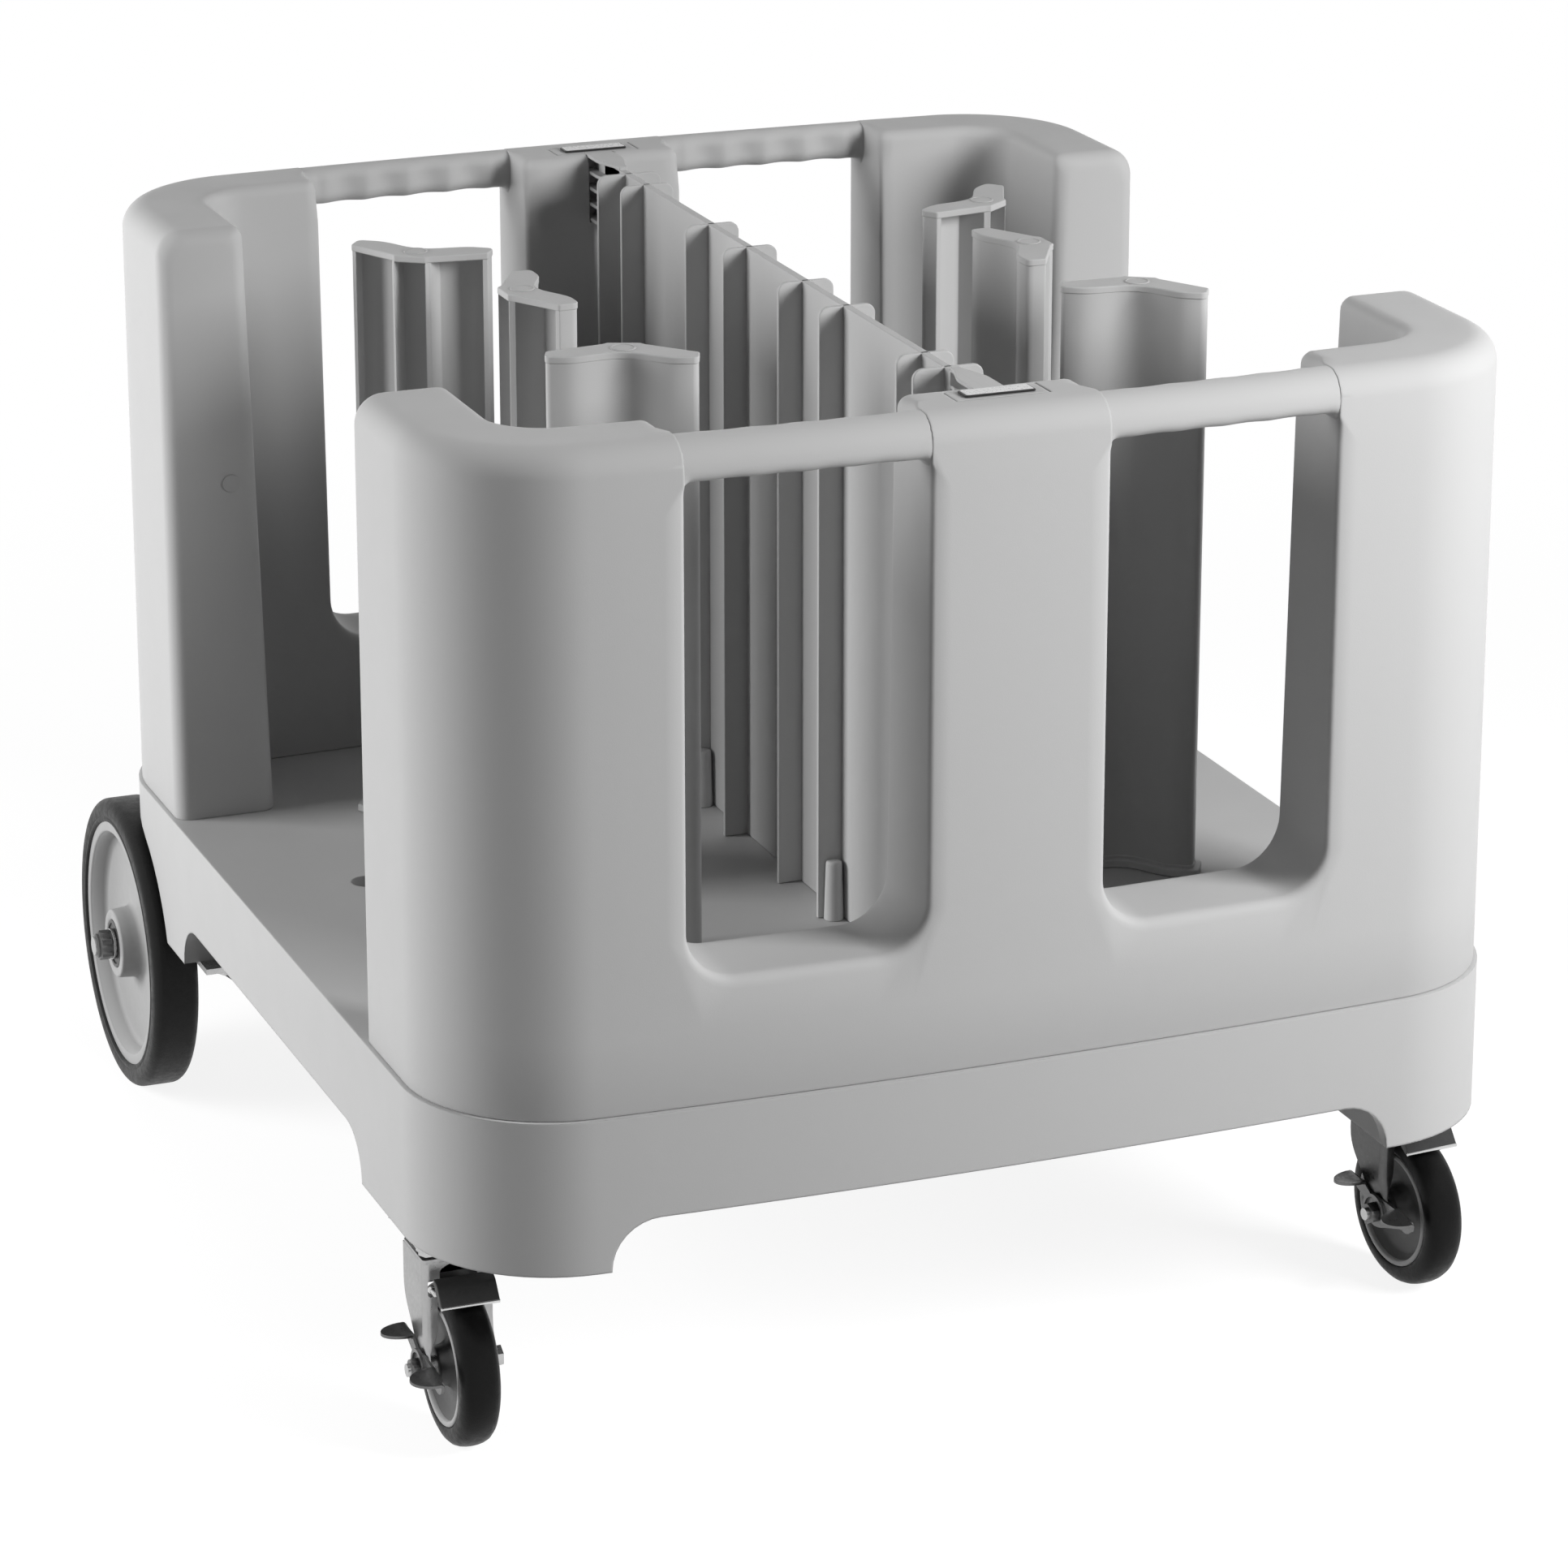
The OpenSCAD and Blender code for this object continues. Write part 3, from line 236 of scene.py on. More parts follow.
def surface(name, colour, rough, metal=0.0, mottle=0.05, patch=9.0, grain=0.10, grain_size=900.0,
            spread=0.06, round_edge=0.0, specular=0.5):
    """Moulded or milled stuff: drifting colour, uneven gloss, a fine grain and worn, rounded edges."""
    mat = bpy.data.materials.new(name)
    mat.use_nodes = True
    t = mat.node_tree
    bsdf = t.nodes["Principled BSDF"]
    place = t.nodes.new("ShaderNodeTexCoord")

    def noise(scale, detail, rough_in=0.55):
        n = t.nodes.new("ShaderNodeTexNoise")
        n.inputs["Scale"].default_value = scale
        n.inputs["Detail"].default_value = detail
        n.inputs["Roughness"].default_value = rough_in
        t.links.new(place.outputs["Object"], n.inputs["Vector"])
        return n

    broad, fine, cloud = noise(patch, 4.0), noise(grain_size, 2.0), noise(patch * 6, 5.0, 0.7)
    tint = t.nodes.new("ShaderNodeMix")
    tint.data_type = "RGBA"
    tint.inputs["A"].default_value = [c * (1 - mottle) for c in colour] + [1]
    tint.inputs["B"].default_value = [min(1.0, c * (1 + mottle)) for c in colour] + [1]
    t.links.new(broad.outputs["Fac"], tint.inputs["Factor"])
    t.links.new(tint.outputs["Result"], bsdf.inputs["Base Color"])
    gloss = t.nodes.new("ShaderNodeMapRange")
    gloss.inputs["From Min"].default_value = 0.3
    gloss.inputs["From Max"].default_value = 0.7
    gloss.inputs["To Min"].default_value = rough - spread
    gloss.inputs["To Max"].default_value = rough + spread
    t.links.new(cloud.outputs["Fac"], gloss.inputs["Value"])
    t.links.new(gloss.outputs["Result"], bsdf.inputs["Roughness"])
    bump = t.nodes.new("ShaderNodeBump")
    bump.inputs["Strength"].default_value = grain
    bump.inputs["Distance"].default_value = 0.0006
    t.links.new(fine.outputs["Fac"], bump.inputs["Height"])
    if round_edge:
        edge = t.nodes.new("ShaderNodeBevel")
        edge.samples = 4
        edge.inputs["Radius"].default_value = round_edge * 0.001
        t.links.new(edge.outputs["Normal"], bump.inputs["Normal"])
    t.links.new(bump.outputs["Normal"], bsdf.inputs["Normal"])
    bsdf.inputs["Metallic"].default_value = metal
    bsdf.inputs["Specular IOR Level"].default_value = specular
    return mat


def grey(level):
    """A neutral colour from its sRGB level of 255."""
    c = level / 255
    c = c / 12.92 if c <= 0.04045 else ((c + 0.055) / 1.055) ** 2.4
    return (c, c, c)


PLASTIC = surface("moulded_plastic", grey(194), 0.46, mottle=0.018, patch=3.0, grain=0.10,
                  grain_size=1100, spread=0.05, round_edge=2.4, specular=0.22)
THIN_PLASTIC = surface("thin_moulded_plastic", grey(190), 0.42, mottle=0.02, patch=4.0, grain=0.08,
                       grain_size=1100, spread=0.05, round_edge=0.8, specular=0.22)
HUB = surface("hub_plastic", grey(166), 0.38, mottle=0.025, patch=14.0, grain=0.08, spread=0.06,
              specular=0.25)
RUBBER = surface("tyre_rubber", grey(27), 0.46, mottle=0.16, patch=26.0, grain=0.25, grain_size=700,
                 spread=0.10, specular=0.2)
CASTOR_RUBBER = surface("castor_rubber", grey(17), 0.42, mottle=0.2, patch=30.0, grain=0.2,
                        grain_size=700, spread=0.12, specular=0.14)
CORE = surface("core_plastic", grey(98), 0.42, mottle=0.06, patch=30.0, grain=0.12, spread=0.08,
               specular=0.3)
CORE_RIM = surface("core_rim_plastic", grey(168), 0.40, mottle=0.05, patch=30.0, grain=0.10)
ZINC = surface("zinc_steel", grey(188), 0.30, metal=1.0, mottle=0.10, patch=60.0, grain=0.12,
               grain_size=500, spread=0.10, round_edge=0.5)
# Bright steel for the stud pins, and as a painted highlight on the brake shoe's lower edge bead.
STUD_STEEL_AND_PAINTED_HIGHLIGHT = surface("stud_steel_and_painted_highlight", grey(205), 0.20, metal=1.0, mottle=0.06, patch=80.0, grain=0.06,
                 grain_size=500, spread=0.08, round_edge=0.5)
DARK = surface("dark_steel", grey(70), 0.38, metal=0.85, mottle=0.18, patch=70.0, grain=0.2,
               grain_size=400, spread=0.12, round_edge=0.6)
# Lit and shaded copies of one fork steel: the left castor's is painted lighter for the light on it, the
# right castor's darker for the shade on it.
FORK_STEEL_PAINTED_LIGHT_AND_SHADE = {name: surface(name + "_fork_steel_painted_light_and_shade", grey(level), 0.36, metal=1.0, mottle=0.08, patch=50.0,
                            grain=0.12, grain_size=500, spread=0.10)
              for name, level in (("left", 170), ("right", 92))}
SHOE_STEEL = surface("shoe_steel", grey(76), 0.50, metal=0.75, mottle=0.12, patch=60.0, grain=0.12,
                     grain_size=500, spread=0.10)
NUT_STEEL = surface("nut_steel", grey(104), 0.36, metal=1.0, mottle=0.1, patch=80.0, grain=0.1,
                    grain_size=500, spread=0.1, round_edge=0.5)
LEVER_STEEL = surface("lever_steel", grey(112), 0.36, metal=0.9, mottle=0.14, patch=70.0, grain=0.15,
                      grain_size=400, spread=0.12, round_edge=0.4)
BADGE_RIM = surface("badge_rim", grey(40), 0.35, mottle=0.08, patch=60.0, grain=0.08)
BADGE_FACE = surface("badge_face", grey(222), 0.28, mottle=0.02, patch=60.0, grain=0.04, spread=0.03)

# ---- end panels


def face_y(x):
    return BOW_Y + math.sqrt(PANEL_BOW**2 - x * x)


def wall_t(h):
    return T_FOOT - (T_FOOT - T_TOP) * h / PANEL_H


def wall_profile():
    """Upright section of a panel: depth from the outer face and height, foot to foot."""
    h = PANEL_H
    out = [(1.6, 0.0), (0.5, 0.5), (0.0, 1.6)] + [(0.0, z) for z in (60, 130, 200, 270, 340, 410, 450)]
    out += [(RIM_R - d, z) for d, z in arc(0, h - RIM_R, RIM_R, 0, 90, 12)]
    out += [(d, h) for d in (32, 44, 56)]
    lean = math.degrees(math.atan((T_FOOT - T_TOP) / h))
    reach = RIM_INNER_R * math.tan(math.radians(45 - lean / 2))
    turn = [(RIM_INNER_R * math.cos(math.radians(a)), RIM_INNER_R * math.sin(math.radians(a)))
            for a in [90 + (90 + lean) * i / 5 for i in range(6)]]
    out += [(T_TOP - reach - u, h - RIM_INNER_R + v) for u, v in turn]
    out += [(wall_t(z), z) for z in (450, 410, 340, 270, 200, 130, 60)]
    out += [(T_FOOT - 0.0, 1.6), (T_FOOT - 0.5, 0.5), (T_FOOT - 1.6, 0.0), (60, 0), (30, 0)]
    return out


def panel_stations():
    """Plan of a panel at the rear: outer point, outward normal, distance from the near end."""
    left = []
    for t in (0, 0.35, 1.0, 2.0, 3.4, 5.2, 7.4, 9.8, 12.0, 14.5, 17.5, 20.0, 22.0, 30, 45, 70):
        left.append(((-PANEL_W, RETURN_Y + t), (-1.0, 0.0), t))
    edge = math.degrees(TURN)
    for x, y in arc(0, 0, 1, 180, 90 + edge, 22):
        left.append(((-CORNER_X + PANEL_R * x, CORNER_Y + PANEL_R * y), (x, y), 99.0))
    bow = []
    for i in range(1, 24):
        a = math.radians(90 + edge - 2 * edge * i / 24)
        x, y = math.cos(a), math.sin(a)
        bow.append(((PANEL_BOW * x, BOW_Y + PANEL_BOW * y), (x, y), 99.0))
    right = [((-p[0], p[1]), (-n[0], n[1]), t) for p, n, t in reversed(left)]
    return left + bow + right


def end_panel():
    profile = wall_profile()
    rings = []
    for (px, py), (nx, ny), t in panel_stations():
        pinch = END_R - math.sqrt(END_R**2 - (END_R - t) ** 2) if t < END_R else 0.0
        drop = END_TOP_R - math.sqrt(END_TOP_R**2 - (END_TOP_R - t) ** 2) if t < END_TOP_R else 0.0
        ring = []
        for d, h in profile:
            wall = wall_t(h)
            share = min(1.0, max(0.0, d / wall))
            depth = d + pinch * (1 - 2 * share)
            lift = min(1.0, max(0.0, (h - 380.0) / 60.0))
            ring.append((px - nx * depth, py - ny * depth, DECK_Z + h - drop * lift))
        rings.append(ring)
    return new_object("end_panel", *skin(rings))


def skin_depth(d, h):
    """How deep a point lies under a panel's skin; negative outside."""
    outer = d
    if d < RIM_R and h > PANEL_H - RIM_R:
        outer = RIM_R - math.hypot(RIM_R - d, h - PANEL_H + RIM_R)
    q = wall_t(h) - d
    inner = q
    if q < RIM_INNER_R and h > PANEL_H - RIM_INNER_R:
        inner = RIM_INNER_R - math.hypot(RIM_INNER_R - q, h - PANEL_H + RIM_INNER_R)
    return min(outer, PANEL_H - h, inner)


def flare(depth, r):
    """How far a rounded edge of radius r draws back at a depth under the skin."""
    if depth >= r:
        return 0.0
    if depth <= 0.0:
        return 0.93 * r - 0.7 * depth
    return min(0.93 * r, r - math.sqrt(r * r - (r - depth) ** 2))


def window_cutter(side):
    """What a window takes out of a panel, with its edges rounded into the faces."""
    tops = [12, 5, 1.5, 0.3, -0.2, -0.7, -1.4, -2.4, -3.6, -5, -7, -10, -14, -19, -25, -30, -34, -40,
            -55, -90, -150, -230, -310, -360]
    outline = [(WINDOW_IN, PANEL_H + z, -1.0, 0.0) for z in tops]
    for cx, a, b in ((WINDOW_IN + WINDOW_R, 180, 270), (WINDOW_OUT - WINDOW_R, 270, 360)):
        for nx, nz in arc(0, 0, 1, a, b, 14):
            outline.append((cx + WINDOW_R * nx, SILL_H + WINDOW_R * (1 + nz), nx, nz))
    outline += [(WINDOW_OUT, PANEL_H + z, 1.0, 0.0) for z in reversed(tops)]
    near = [-5, -1.2, -0.3, 0.1, 0.4, 0.9, 1.6, 2.6, 4, 5.8, 8, 12, 20, 30]
    far = [26, 14, 9, 6.4, 4.4, 3, 1.9, 1.0, 0.4, 0.1, -0.3, -1.2, -6]
    rings = []
    for k in range(len(near) + len(far)):
        ring = []
        for x, h, nx, nz in outline:
            d = near[k] if k < len(near) else wall_t(min(h, PANEL_H)) - far[k - len(near)]
            r = 4.0 + 5.0 * max(0.0, -nz)
            if h > PANEL_H - 36:
                r = 1.0 if d < 38 else 4.0 + 6.0 * min(1.0, (h - PANEL_H + 36) / 22)
            o = flare(skin_depth(d, h), r)
            px, ph = x + nx * o, h + nz * o
            ring.append((side * px, face_y(px) - d, DECK_Z + ph))
        rings.append(ring)
    return new_object("window_cutter", *skin(rings))


HEAD_Y = PANEL_L - T_TOP + 11.5
HEAD_HALF, HEAD_T, HEAD_H, NECK_HALF, GAP = 37.0, 26.0, 58.0, 12.0, 0.7


def pocket_cutters():
    floor = DECK_Z + PANEL_H - HEAD_H - GAP
    top = DECK_Z + PANEL_H + 8
    head = box(-HEAD_HALF - GAP, HEAD_HALF + GAP, HEAD_Y - GAP, HEAD_Y + HEAD_T + GAP, floor, top)
    neck = box(-NECK_HALF - GAP, NECK_HALF + GAP, HEAD_Y - 40, HEAD_Y + 2, floor, top)
    return [new_object("pocket_cutter", *head), new_object("pocket_cutter", *neck)]


def hand_bar(side):
    """A grip between two jambs, flush with the panel outside and waved for the fingers inside."""
    h = PANEL_H
    section = []
    for d, z in arc(RIM_R, h - RIM_R, RIM_R - 0.35, 180, 90, 10):
        section.append((d, z, 0.0))
    for i, (d, z) in enumerate(arc(23.0, h - 11.35, 11.0, 90, 0, 8)[1:]):
        section.append((d, z, (i + 1) / 8))
    for i, (d, z) in enumerate(arc(22.0, h - 20.5, 12.0, 0, -90, 8)):
        section.append((d, z, 1.0 - 0.75 * i / 8))
    for i, (d, z) in enumerate(arc(9.35, h - 23.5, 9.0, -90, -180, 7)):
        section.append((d, z, 0.25 * (1 - i / 7)))
    middle, centre = (WINDOW_IN + WINDOW_OUT) / 2, (17.5, h - 16.0)
    rings = []
    x = WINDOW_IN - 12.0
    while x <= WINDOW_OUT + 12.01:
        reach = min(x - WINDOW_IN, WINDOW_OUT - x)
        fillet = 0.0
        if reach < 7.0:
            fillet = 7.0 - math.sqrt(max(0.0, 49.0 - (7.0 - max(0.0, reach)) ** 2))
        fade = max(0.0, min(1.0, (reach - 8.0) / 10.0))
        swing = 0.5 - 0.5 * math.cos(2 * math.pi * (x - middle) / WAVE_PITCH)
        wave = fade * WAVE_DEPTH * swing**0.8
        ring = []
        for d, z, w in section:
            u, v = centre[0] - d, centre[1] - z
            move = wave * w / math.hypot(u, v)
            low = max(0.0, min(1.0, (h - 22.0 - z) / 9.0))
            ring.append((side * x, face_y(x) - (d + u * move), DECK_Z + z + v * move - fillet * low))
        rings.append(ring)
        x += 1.6
    return new_object("hand_bar", *skin(rings))


panel = end_panel()
carve(panel, [window_cutter(1), window_cutter(-1)] + pocket_cutters())
bars = [hand_bar(1), hand_bar(-1)]
for end, place in (("front", FRONT), ("rear", REAR)):
    piece = twin(panel, end + "_panel_moulding", place)
    dress(piece, PLASTIC, "cart_body", [end + "_end_panel"], sharp=28)
    for bar, side in zip(bars, (("right", "left") if end == "rear" else ("left", "right"))):
        grip = twin(bar, f"{end}_{side}_hand_bar", place)
        dress(grip, PLASTIC, "cart_body", [end + "_end_panel"], sharp=60)
for ob in [panel] + bars:
    bpy.data.objects.remove(ob)

# ---- centre divider

WALL_HALF, WALL_H, WALL_END, SEAT = 3.5, 502.0, 397.0, 0.3


def round_top(half, h, r, n=6):
    corners = arc(half - r, h - r, r, 0, 90, n) + arc(r - half, h - r, r, 90, 180, n)
    return [(-half, 0.0), (half, 0.0)] + corners


divider_at = Matrix.Translation((0, BODY_Y, DECK_Z + SEAT))
wall = box(-WALL_HALF, WALL_HALF, -WALL_END, WALL_END, 0, WALL_H)
wall = new_object("divider_wall_sheet", *wall, divider_at)
dress(wall, THIN_PLASTIC, "divider_wall", ["center_divider"], bevel=0.9)
ribs = []
for sign in (-1, 1):
    for y, reach in ((61, 23.5), (147, 23.5), (302, 23.5), (346, 28.5)):
        ribs.append(prism(round_top(reach, WALL_H, 8.0), sign * y - 2.0, sign * y + 2.0, "y"))
ribs = new_object("divider_ribs", *merge(*ribs), divider_at)
dress(ribs, THIN_PLASTIC, "divider_wall", ["center_divider"], bevel=0.9)
INNER_TOP_Y = PANEL_L - T_TOP
FLARE_Y = INNER_TOP_Y - 53.0
NECK_Y = PANEL_L - T_FOOT - INSET


def neck_outline():
    """Plan of the neck, flaring in a smooth curve from the wall to the head."""
    side = []
    for i in range(15):
        s = i / 14
        ease = s * s * (3 - 2 * s)
        side.append((WALL_HALF + (NECK_HALF - WALL_HALF) * ease, FLARE_Y + (NECK_Y - FLARE_Y) * s))
    side.append((NECK_HALF, HEAD_Y + 1))
    return side + [(-x, y) for x, y in reversed(side)]


necks, heads = [], []
foot = PANEL_H - HEAD_H
for turn in (Matrix(), Matrix.Rotation(math.pi, 4, "Z")):
    for i in range(5):
        low = foot + i * (HEAD_H - 3.0) / 4
        necks.append(shifted(prism(neck_outline(), low, low + 3.0), turn))
    necks.append(shifted(box(-WALL_HALF, WALL_HALF, FLARE_Y, HEAD_Y + 1, foot, PANEL_H - 0.2), turn))
    head = box(-HEAD_HALF, HEAD_HALF, HEAD_Y, HEAD_Y + HEAD_T, foot, PANEL_H - SEAT)
    heads.append(shifted(head, turn))
necks = new_object("divider_necks", *merge(*necks), divider_at)
dress(necks, THIN_PLASTIC, "divider_wall", ["center_divider"], bevel=0.5)
heads = new_object("divider_heads", *merge(*heads), divider_at)
dress(heads, PLASTIC, "divider_wall", ["center_divider"], bevel=1.2)


def post():
    """A hollow-looking locating post: a taper with a rounded shoulder."""
    taper = [(8.0, 0.0), (7.9, 4.0), (7.0, 34.0), (6.6, 46.0), (6.3, 47.8), (5.5, 48.8), (4.2, 49.0)]
    return spun(taper, 32)


posts = []
for x in (-11.5, 11.5):
    for y in (-147, 147):
        posts.append(shifted(post(), Matrix.Translation((x, y - 6.0, 0))))
posts = new_object("divider_posts", *merge(*posts), divider_at)
dress(posts, THIN_PLASTIC, "divider_wall", ["center_divider"], sharp=50)

for end, place in (("front", FRONT), ("rear", REAR)):
    at = place @ Matrix.Translation((0, HEAD_Y + HEAD_T / 2, DECK_Z + PANEL_H + SEAT))
    rim = new_object(end + "_badge_rim", *merge(
        prism(round_rect(28, 8.5, 2.2), 0, 1.3),
        prism(round_rect(27.5, 8.0, 1.9), 1.3, 1.6)), at)
    dress(rim, BADGE_RIM, "divider_wall", [end + "_badge_plate"], bevel=0.3)
    face = new_object(end + "_badge_face", *merge(
        prism(round_rect(26.6, 7.1, 1.4), 1.2, 1.75),
        prism(round_rect(26.3, 6.8, 1.2), 1.75, 1.95)), at)
    dress(face, BADGE_FACE, "divider_wall", [end + "_badge_plate"], bevel=0.15)

# ---- plate dividers

D_HALF, D_DEEP, D_WING, D_DISH = 58.0, 43.0, 16.0, 15.0
D_HIGH, D_SKIN, D_CAP, D_FOOT = 490.0, 4.0, 6.0, 8.0
PEG_Y = 27.0
DISH_HALF = D_HALF - 14.0


def dish(u):
    return D_DISH * (1 + math.cos(math.pi * u / DISH_HALF)) / 2 if abs(u) < DISH_HALF else 0.0


def dish_front(step):
    """The plate side in plan with its rounded noses, moved out by step."""
    end = -D_HALF - step
    line = [(end, 6.0 - step), (end + 0.5, 3.4 - step), (end + 2.0, 1.3 - step), (end + 4.6, 0.1 - step)]
    line += [(-DISH_HALF + 2 * DISH_HALF * i / 36, dish(-DISH_HALF + 2 * DISH_HALF * i / 36) - step)
             for i in range(37)]
    return line + [(-u, v) for u, v in reversed(line[:4])]


def divider_plan(step):
    return dish_front(step) + [
        (D_HALF + step, D_WING + step), (16 + step, D_DEEP - 4 + step), (13, D_DEEP + step),
        (-13, D_DEEP + step), (-16 - step, D_DEEP - 4 + step), (-D_HALF - step, D_WING + step)]


def divider_comb():
    """Plan of the column between foot and cap: a dished skin with four ribs behind it."""
    slope = (D_DEEP - 4 - D_WING) / (D_HALF - 16)
    half = [(D_HALF, D_WING), (D_HALF - D_SKIN, D_WING + D_SKIN * slope)]
    for i in range(15):
        u = D_HALF - D_SKIN - (D_HALF - D_SKIN - 16.5) * i / 14
        half.append((u, D_SKIN + dish(u)))
    half += [(16.5, D_DEEP - 4 - 0.5 * slope), (16.0, D_DEEP - 4), (13.0, D_DEEP),
             (13.0, D_DISH + D_SKIN)]
    return dish_front(0) + half + [(-u, v) for u, v in reversed(half)]


def plate_divider(name, x, y, turn):
    at = (Matrix.Translation((x, y + BODY_Y, DECK_Z + SEAT))
          @ Matrix.Rotation(math.radians(turn), 4, "Z") @ Matrix.Translation((0, -PEG_Y, 0)))
    node, body = name + "_plate_divider", name + "_column"
    column = prism(divider_comb(), D_FOOT - 1, D_HIGH - D_CAP + 1)
    column = new_object(name + "_divider_column", *column, at)
    dress(column, THIN_PLASTIC, body, [node], bevel=0.7, sharp=30)
    cap = new_object(name + "_divider_cap", *prism(divider_plan(0.6), D_HIGH - D_CAP, D_HIGH), at)
    dress(cap, THIN_PLASTIC, body, [node], bevel=1.3, segments=3, sharp=30)
    boss = [(10.0, 0.0), (10.0, 0.5), (9.7, 0.75), (8.6, 0.8), (8.4, 0.35), (3.0, 0.35)]
    disc = spun([(r, D_HIGH + z) for r, z in boss], 40, 0.0, PEG_Y)
    disc = new_object(name + "_divider_boss", *disc, at)
    dress(disc, THIN_PLASTIC, body, [node], sharp=40)
    flange = new_object(name + "_divider_foot", *merge(
        prism(divider_plan(5.0), 0, D_FOOT - 1.5), prism(divider_plan(0.6), 0.5, D_FOOT + 1.5)), at)
    dress(flange, THIN_PLASTIC, body, [node], bevel=1.0, sharp=30)
    pegs = []
    for px, py, r in ((0, PEG_Y, 12.6), (-40, 9, 5.0)):
        pegs.append(spun([(r, 1.0), (r, -9.5), (r - 0.8, -11.4), (r - 2.2, -12.0)], 40, px, py))
    pegs = new_object(name + "_divider_pegs", *merge(*pegs), at)
    dress(pegs, THIN_PLASTIC, body, [node], sharp=40)


for name, x, y, turn in (
    ("left_rear", -241, 191, 144), ("left_middle", -201, 40, 90), ("left_front", -190, -164, -22),
    ("right_rear", 261, 191, 218), ("right_middle", 237, 39, -90), ("right_front", 262, -117, -32)):
    plate_divider(name, x, y, turn)

# ---- rear wheels


def mirrored(half):
    """A profile of (radius, x) from the bore outwards on the +x side, closed by its mirror image."""
    return half + [(r, -x) for r, x in reversed(half)]


def hex_nut(r, low, high, collar=0.0):
    """A hexagon nut along x with chamfered corners and, if asked, a round collar."""
    rings = []
    for x, cut in ((low, 0.86), (low + 0.9, 1.0), (high - 0.9, 1.0), (high, 0.86)):
        ring = []
        for k in range(48):
            a = 2 * math.pi * k / 48
            flat = r * math.cos(math.pi / 6) / math.cos((a + math.pi / 6) % (math.pi / 3) - math.pi / 6)
            q = min(flat, r * cut + 0.02)
            ring.append((x, q * math.cos(a), q * math.sin(a)))
        rings.append(ring)
    if collar:
        for x, q in ((high + 0.01, collar), (high + 1.6, collar), (high + 2.6, collar - 1.2)):
            rings.append([(x, q * math.cos(2 * math.pi * k / 48), q * math.sin(2 * math.pi * k / 48))
                          for k in range(48)])
    return skin(rings)


HUB_PROFILE = mirrored(
    [(21.2, 22.4), (22.0, 23.0)] + arc(28.0, 21.0, 2.0, 90, 15)
    + [(30.6, 14.0)] + arc(37.0, 9.6, 6.0, 190, 270) + [(60.0, 3.2), (88.0, 3.2)]
    + arc(90.0, 8.2, 5.0, 270, 345) + [(97.2, 16.0)] + arc(99.8, 16.0, 2.0, 170, 90)
    + [(105.0, 18.0), (107.0, 17.6)])
TYRE_PROFILE = mirrored(
    [(106.9, 17.0), (107.3, 19.0), (108.6, 20.0), (110.5, 20.0), (111.4, 19.5), (112.4, 19.9),
     (116.0, 20.0)] + arc(118.5, 11.5, 8.5, 80, 8, 9) + [(WHEEL_R, 8.0), (WHEEL_R, 2.0)])
HUB_BORE = mirrored([(14.0, 10.5), (21.0, 10.5)])
for side, sign in (("left", -1), ("right", 1)):
    at = Matrix.Translation((sign * WHEEL_X, WHEEL_Y + BODY_Y, WHEEL_R))
    body = side + "_rear_wheel"
    hub = new_object(side + "_wheel_disc", *merge(lathe(HUB_PROFILE, 128), lathe(HUB_BORE, 64)), at)
    dress(hub, HUB, body, [side + "_wheel_hub"], sharp=50)
    tyre = new_object(side + "_wheel_rubber", *lathe(TYRE_PROFILE, 128), at)
    dress(tyre, RUBBER, body, [side + "_wheel_tyre"], sharp=50)
    facing = at @ Matrix.Rotation(math.pi if sign < 0 else 0.0, 4, "Z")
    nut = new_object(side + "_axle_lock_nut", *hex_nut(13.8, 25.8, 36.8, 10.5), facing)
    dress(nut, NUT_STEEL, "cart_body", [side + "_axle_nut"], sharp=24)

# ---- castors

FORK_HALF_W, LEG_T, EYE_R, CROWN_Z, STUD_X, STUD_Z = 28.0, 2.5, 14.0, 152.0, 21.5, 128.5
SHOE_HALF_W, LEVER_IN, LEVER_OUT = 23.0, -28.3, -30.9
C_TYRE = mirrored(
    [(46.9, 12.0), (47.2, 14.5), (48.4, 15.4), (51.0, 15.5), (55.0, 15.1), (58.6, 13.4), (61.2, 10.8),
     (62.6, 7.6), (63.3, 3.9), (CASTOR_R, 1.0)])
C_CORE = mirrored(
    [(8.1, 18.5), (13.4, 18.5), (15.0, 17.6), (16.4, 11.0), (19.5, 6.6), (22.0, 6.0), (35.5, 6.0),
     (38.5, 7.4), (42.4, 12.6)])
C_RIM = mirrored([(42.2, 12.0), (42.8, 14.9), (43.6, 15.5), (46.2, 15.6), (47.1, 14.8)])
# height, rear edge and front edge of a leg, and how far its front flange reaches
LEG_ROWS = [
    (73, -7.2, -32.6, 3.0), (77, -5.0, -30.4, 3.4), (81, -2.4, -28.8, 5.2), (85, 0.6, -27.5, 7.4),
    (89, 4.0, -26.6, 9.2), (93, 7.8, -26.2, 10.4), (97, 11.6, -26.0, 11.0), (101, 15.0, -26.0, 11.2),
    (105, 17.8, -26.0, 11.2), (109, 19.8, -26.0, 11.2), (114, 21.3, -26.0, 11.2),
    (120, 22.0, -26.0, 11.4), (126, 22.0, -26.0, 12.4), (131, 22.0, -26.0, 13.0),
    (137, 22.0, -26.0, 13.2), (149.5, 22.0, -26.0, 13.2)]
SHOE_SIDE = [
    (-35.6, 140.6), (-41.0, 139.6), (-44.2, 138.0), (-46.6, 135.6), (-55.2, 124.2), (-53.2, 122.7),
    (-44.8, 133.8), (-43.0, 135.6), (-40.4, 136.9), (-35.8, 137.8)]
SHOE_END = [
    (-36.5, 140.2), (-41.0, 139.4), (-44.4, 137.6), (-46.8, 134.8), (-54.8, 124.0), (-50.6, 123.0),
    (-43.6, 127.6), (-38.5, 133.6)]
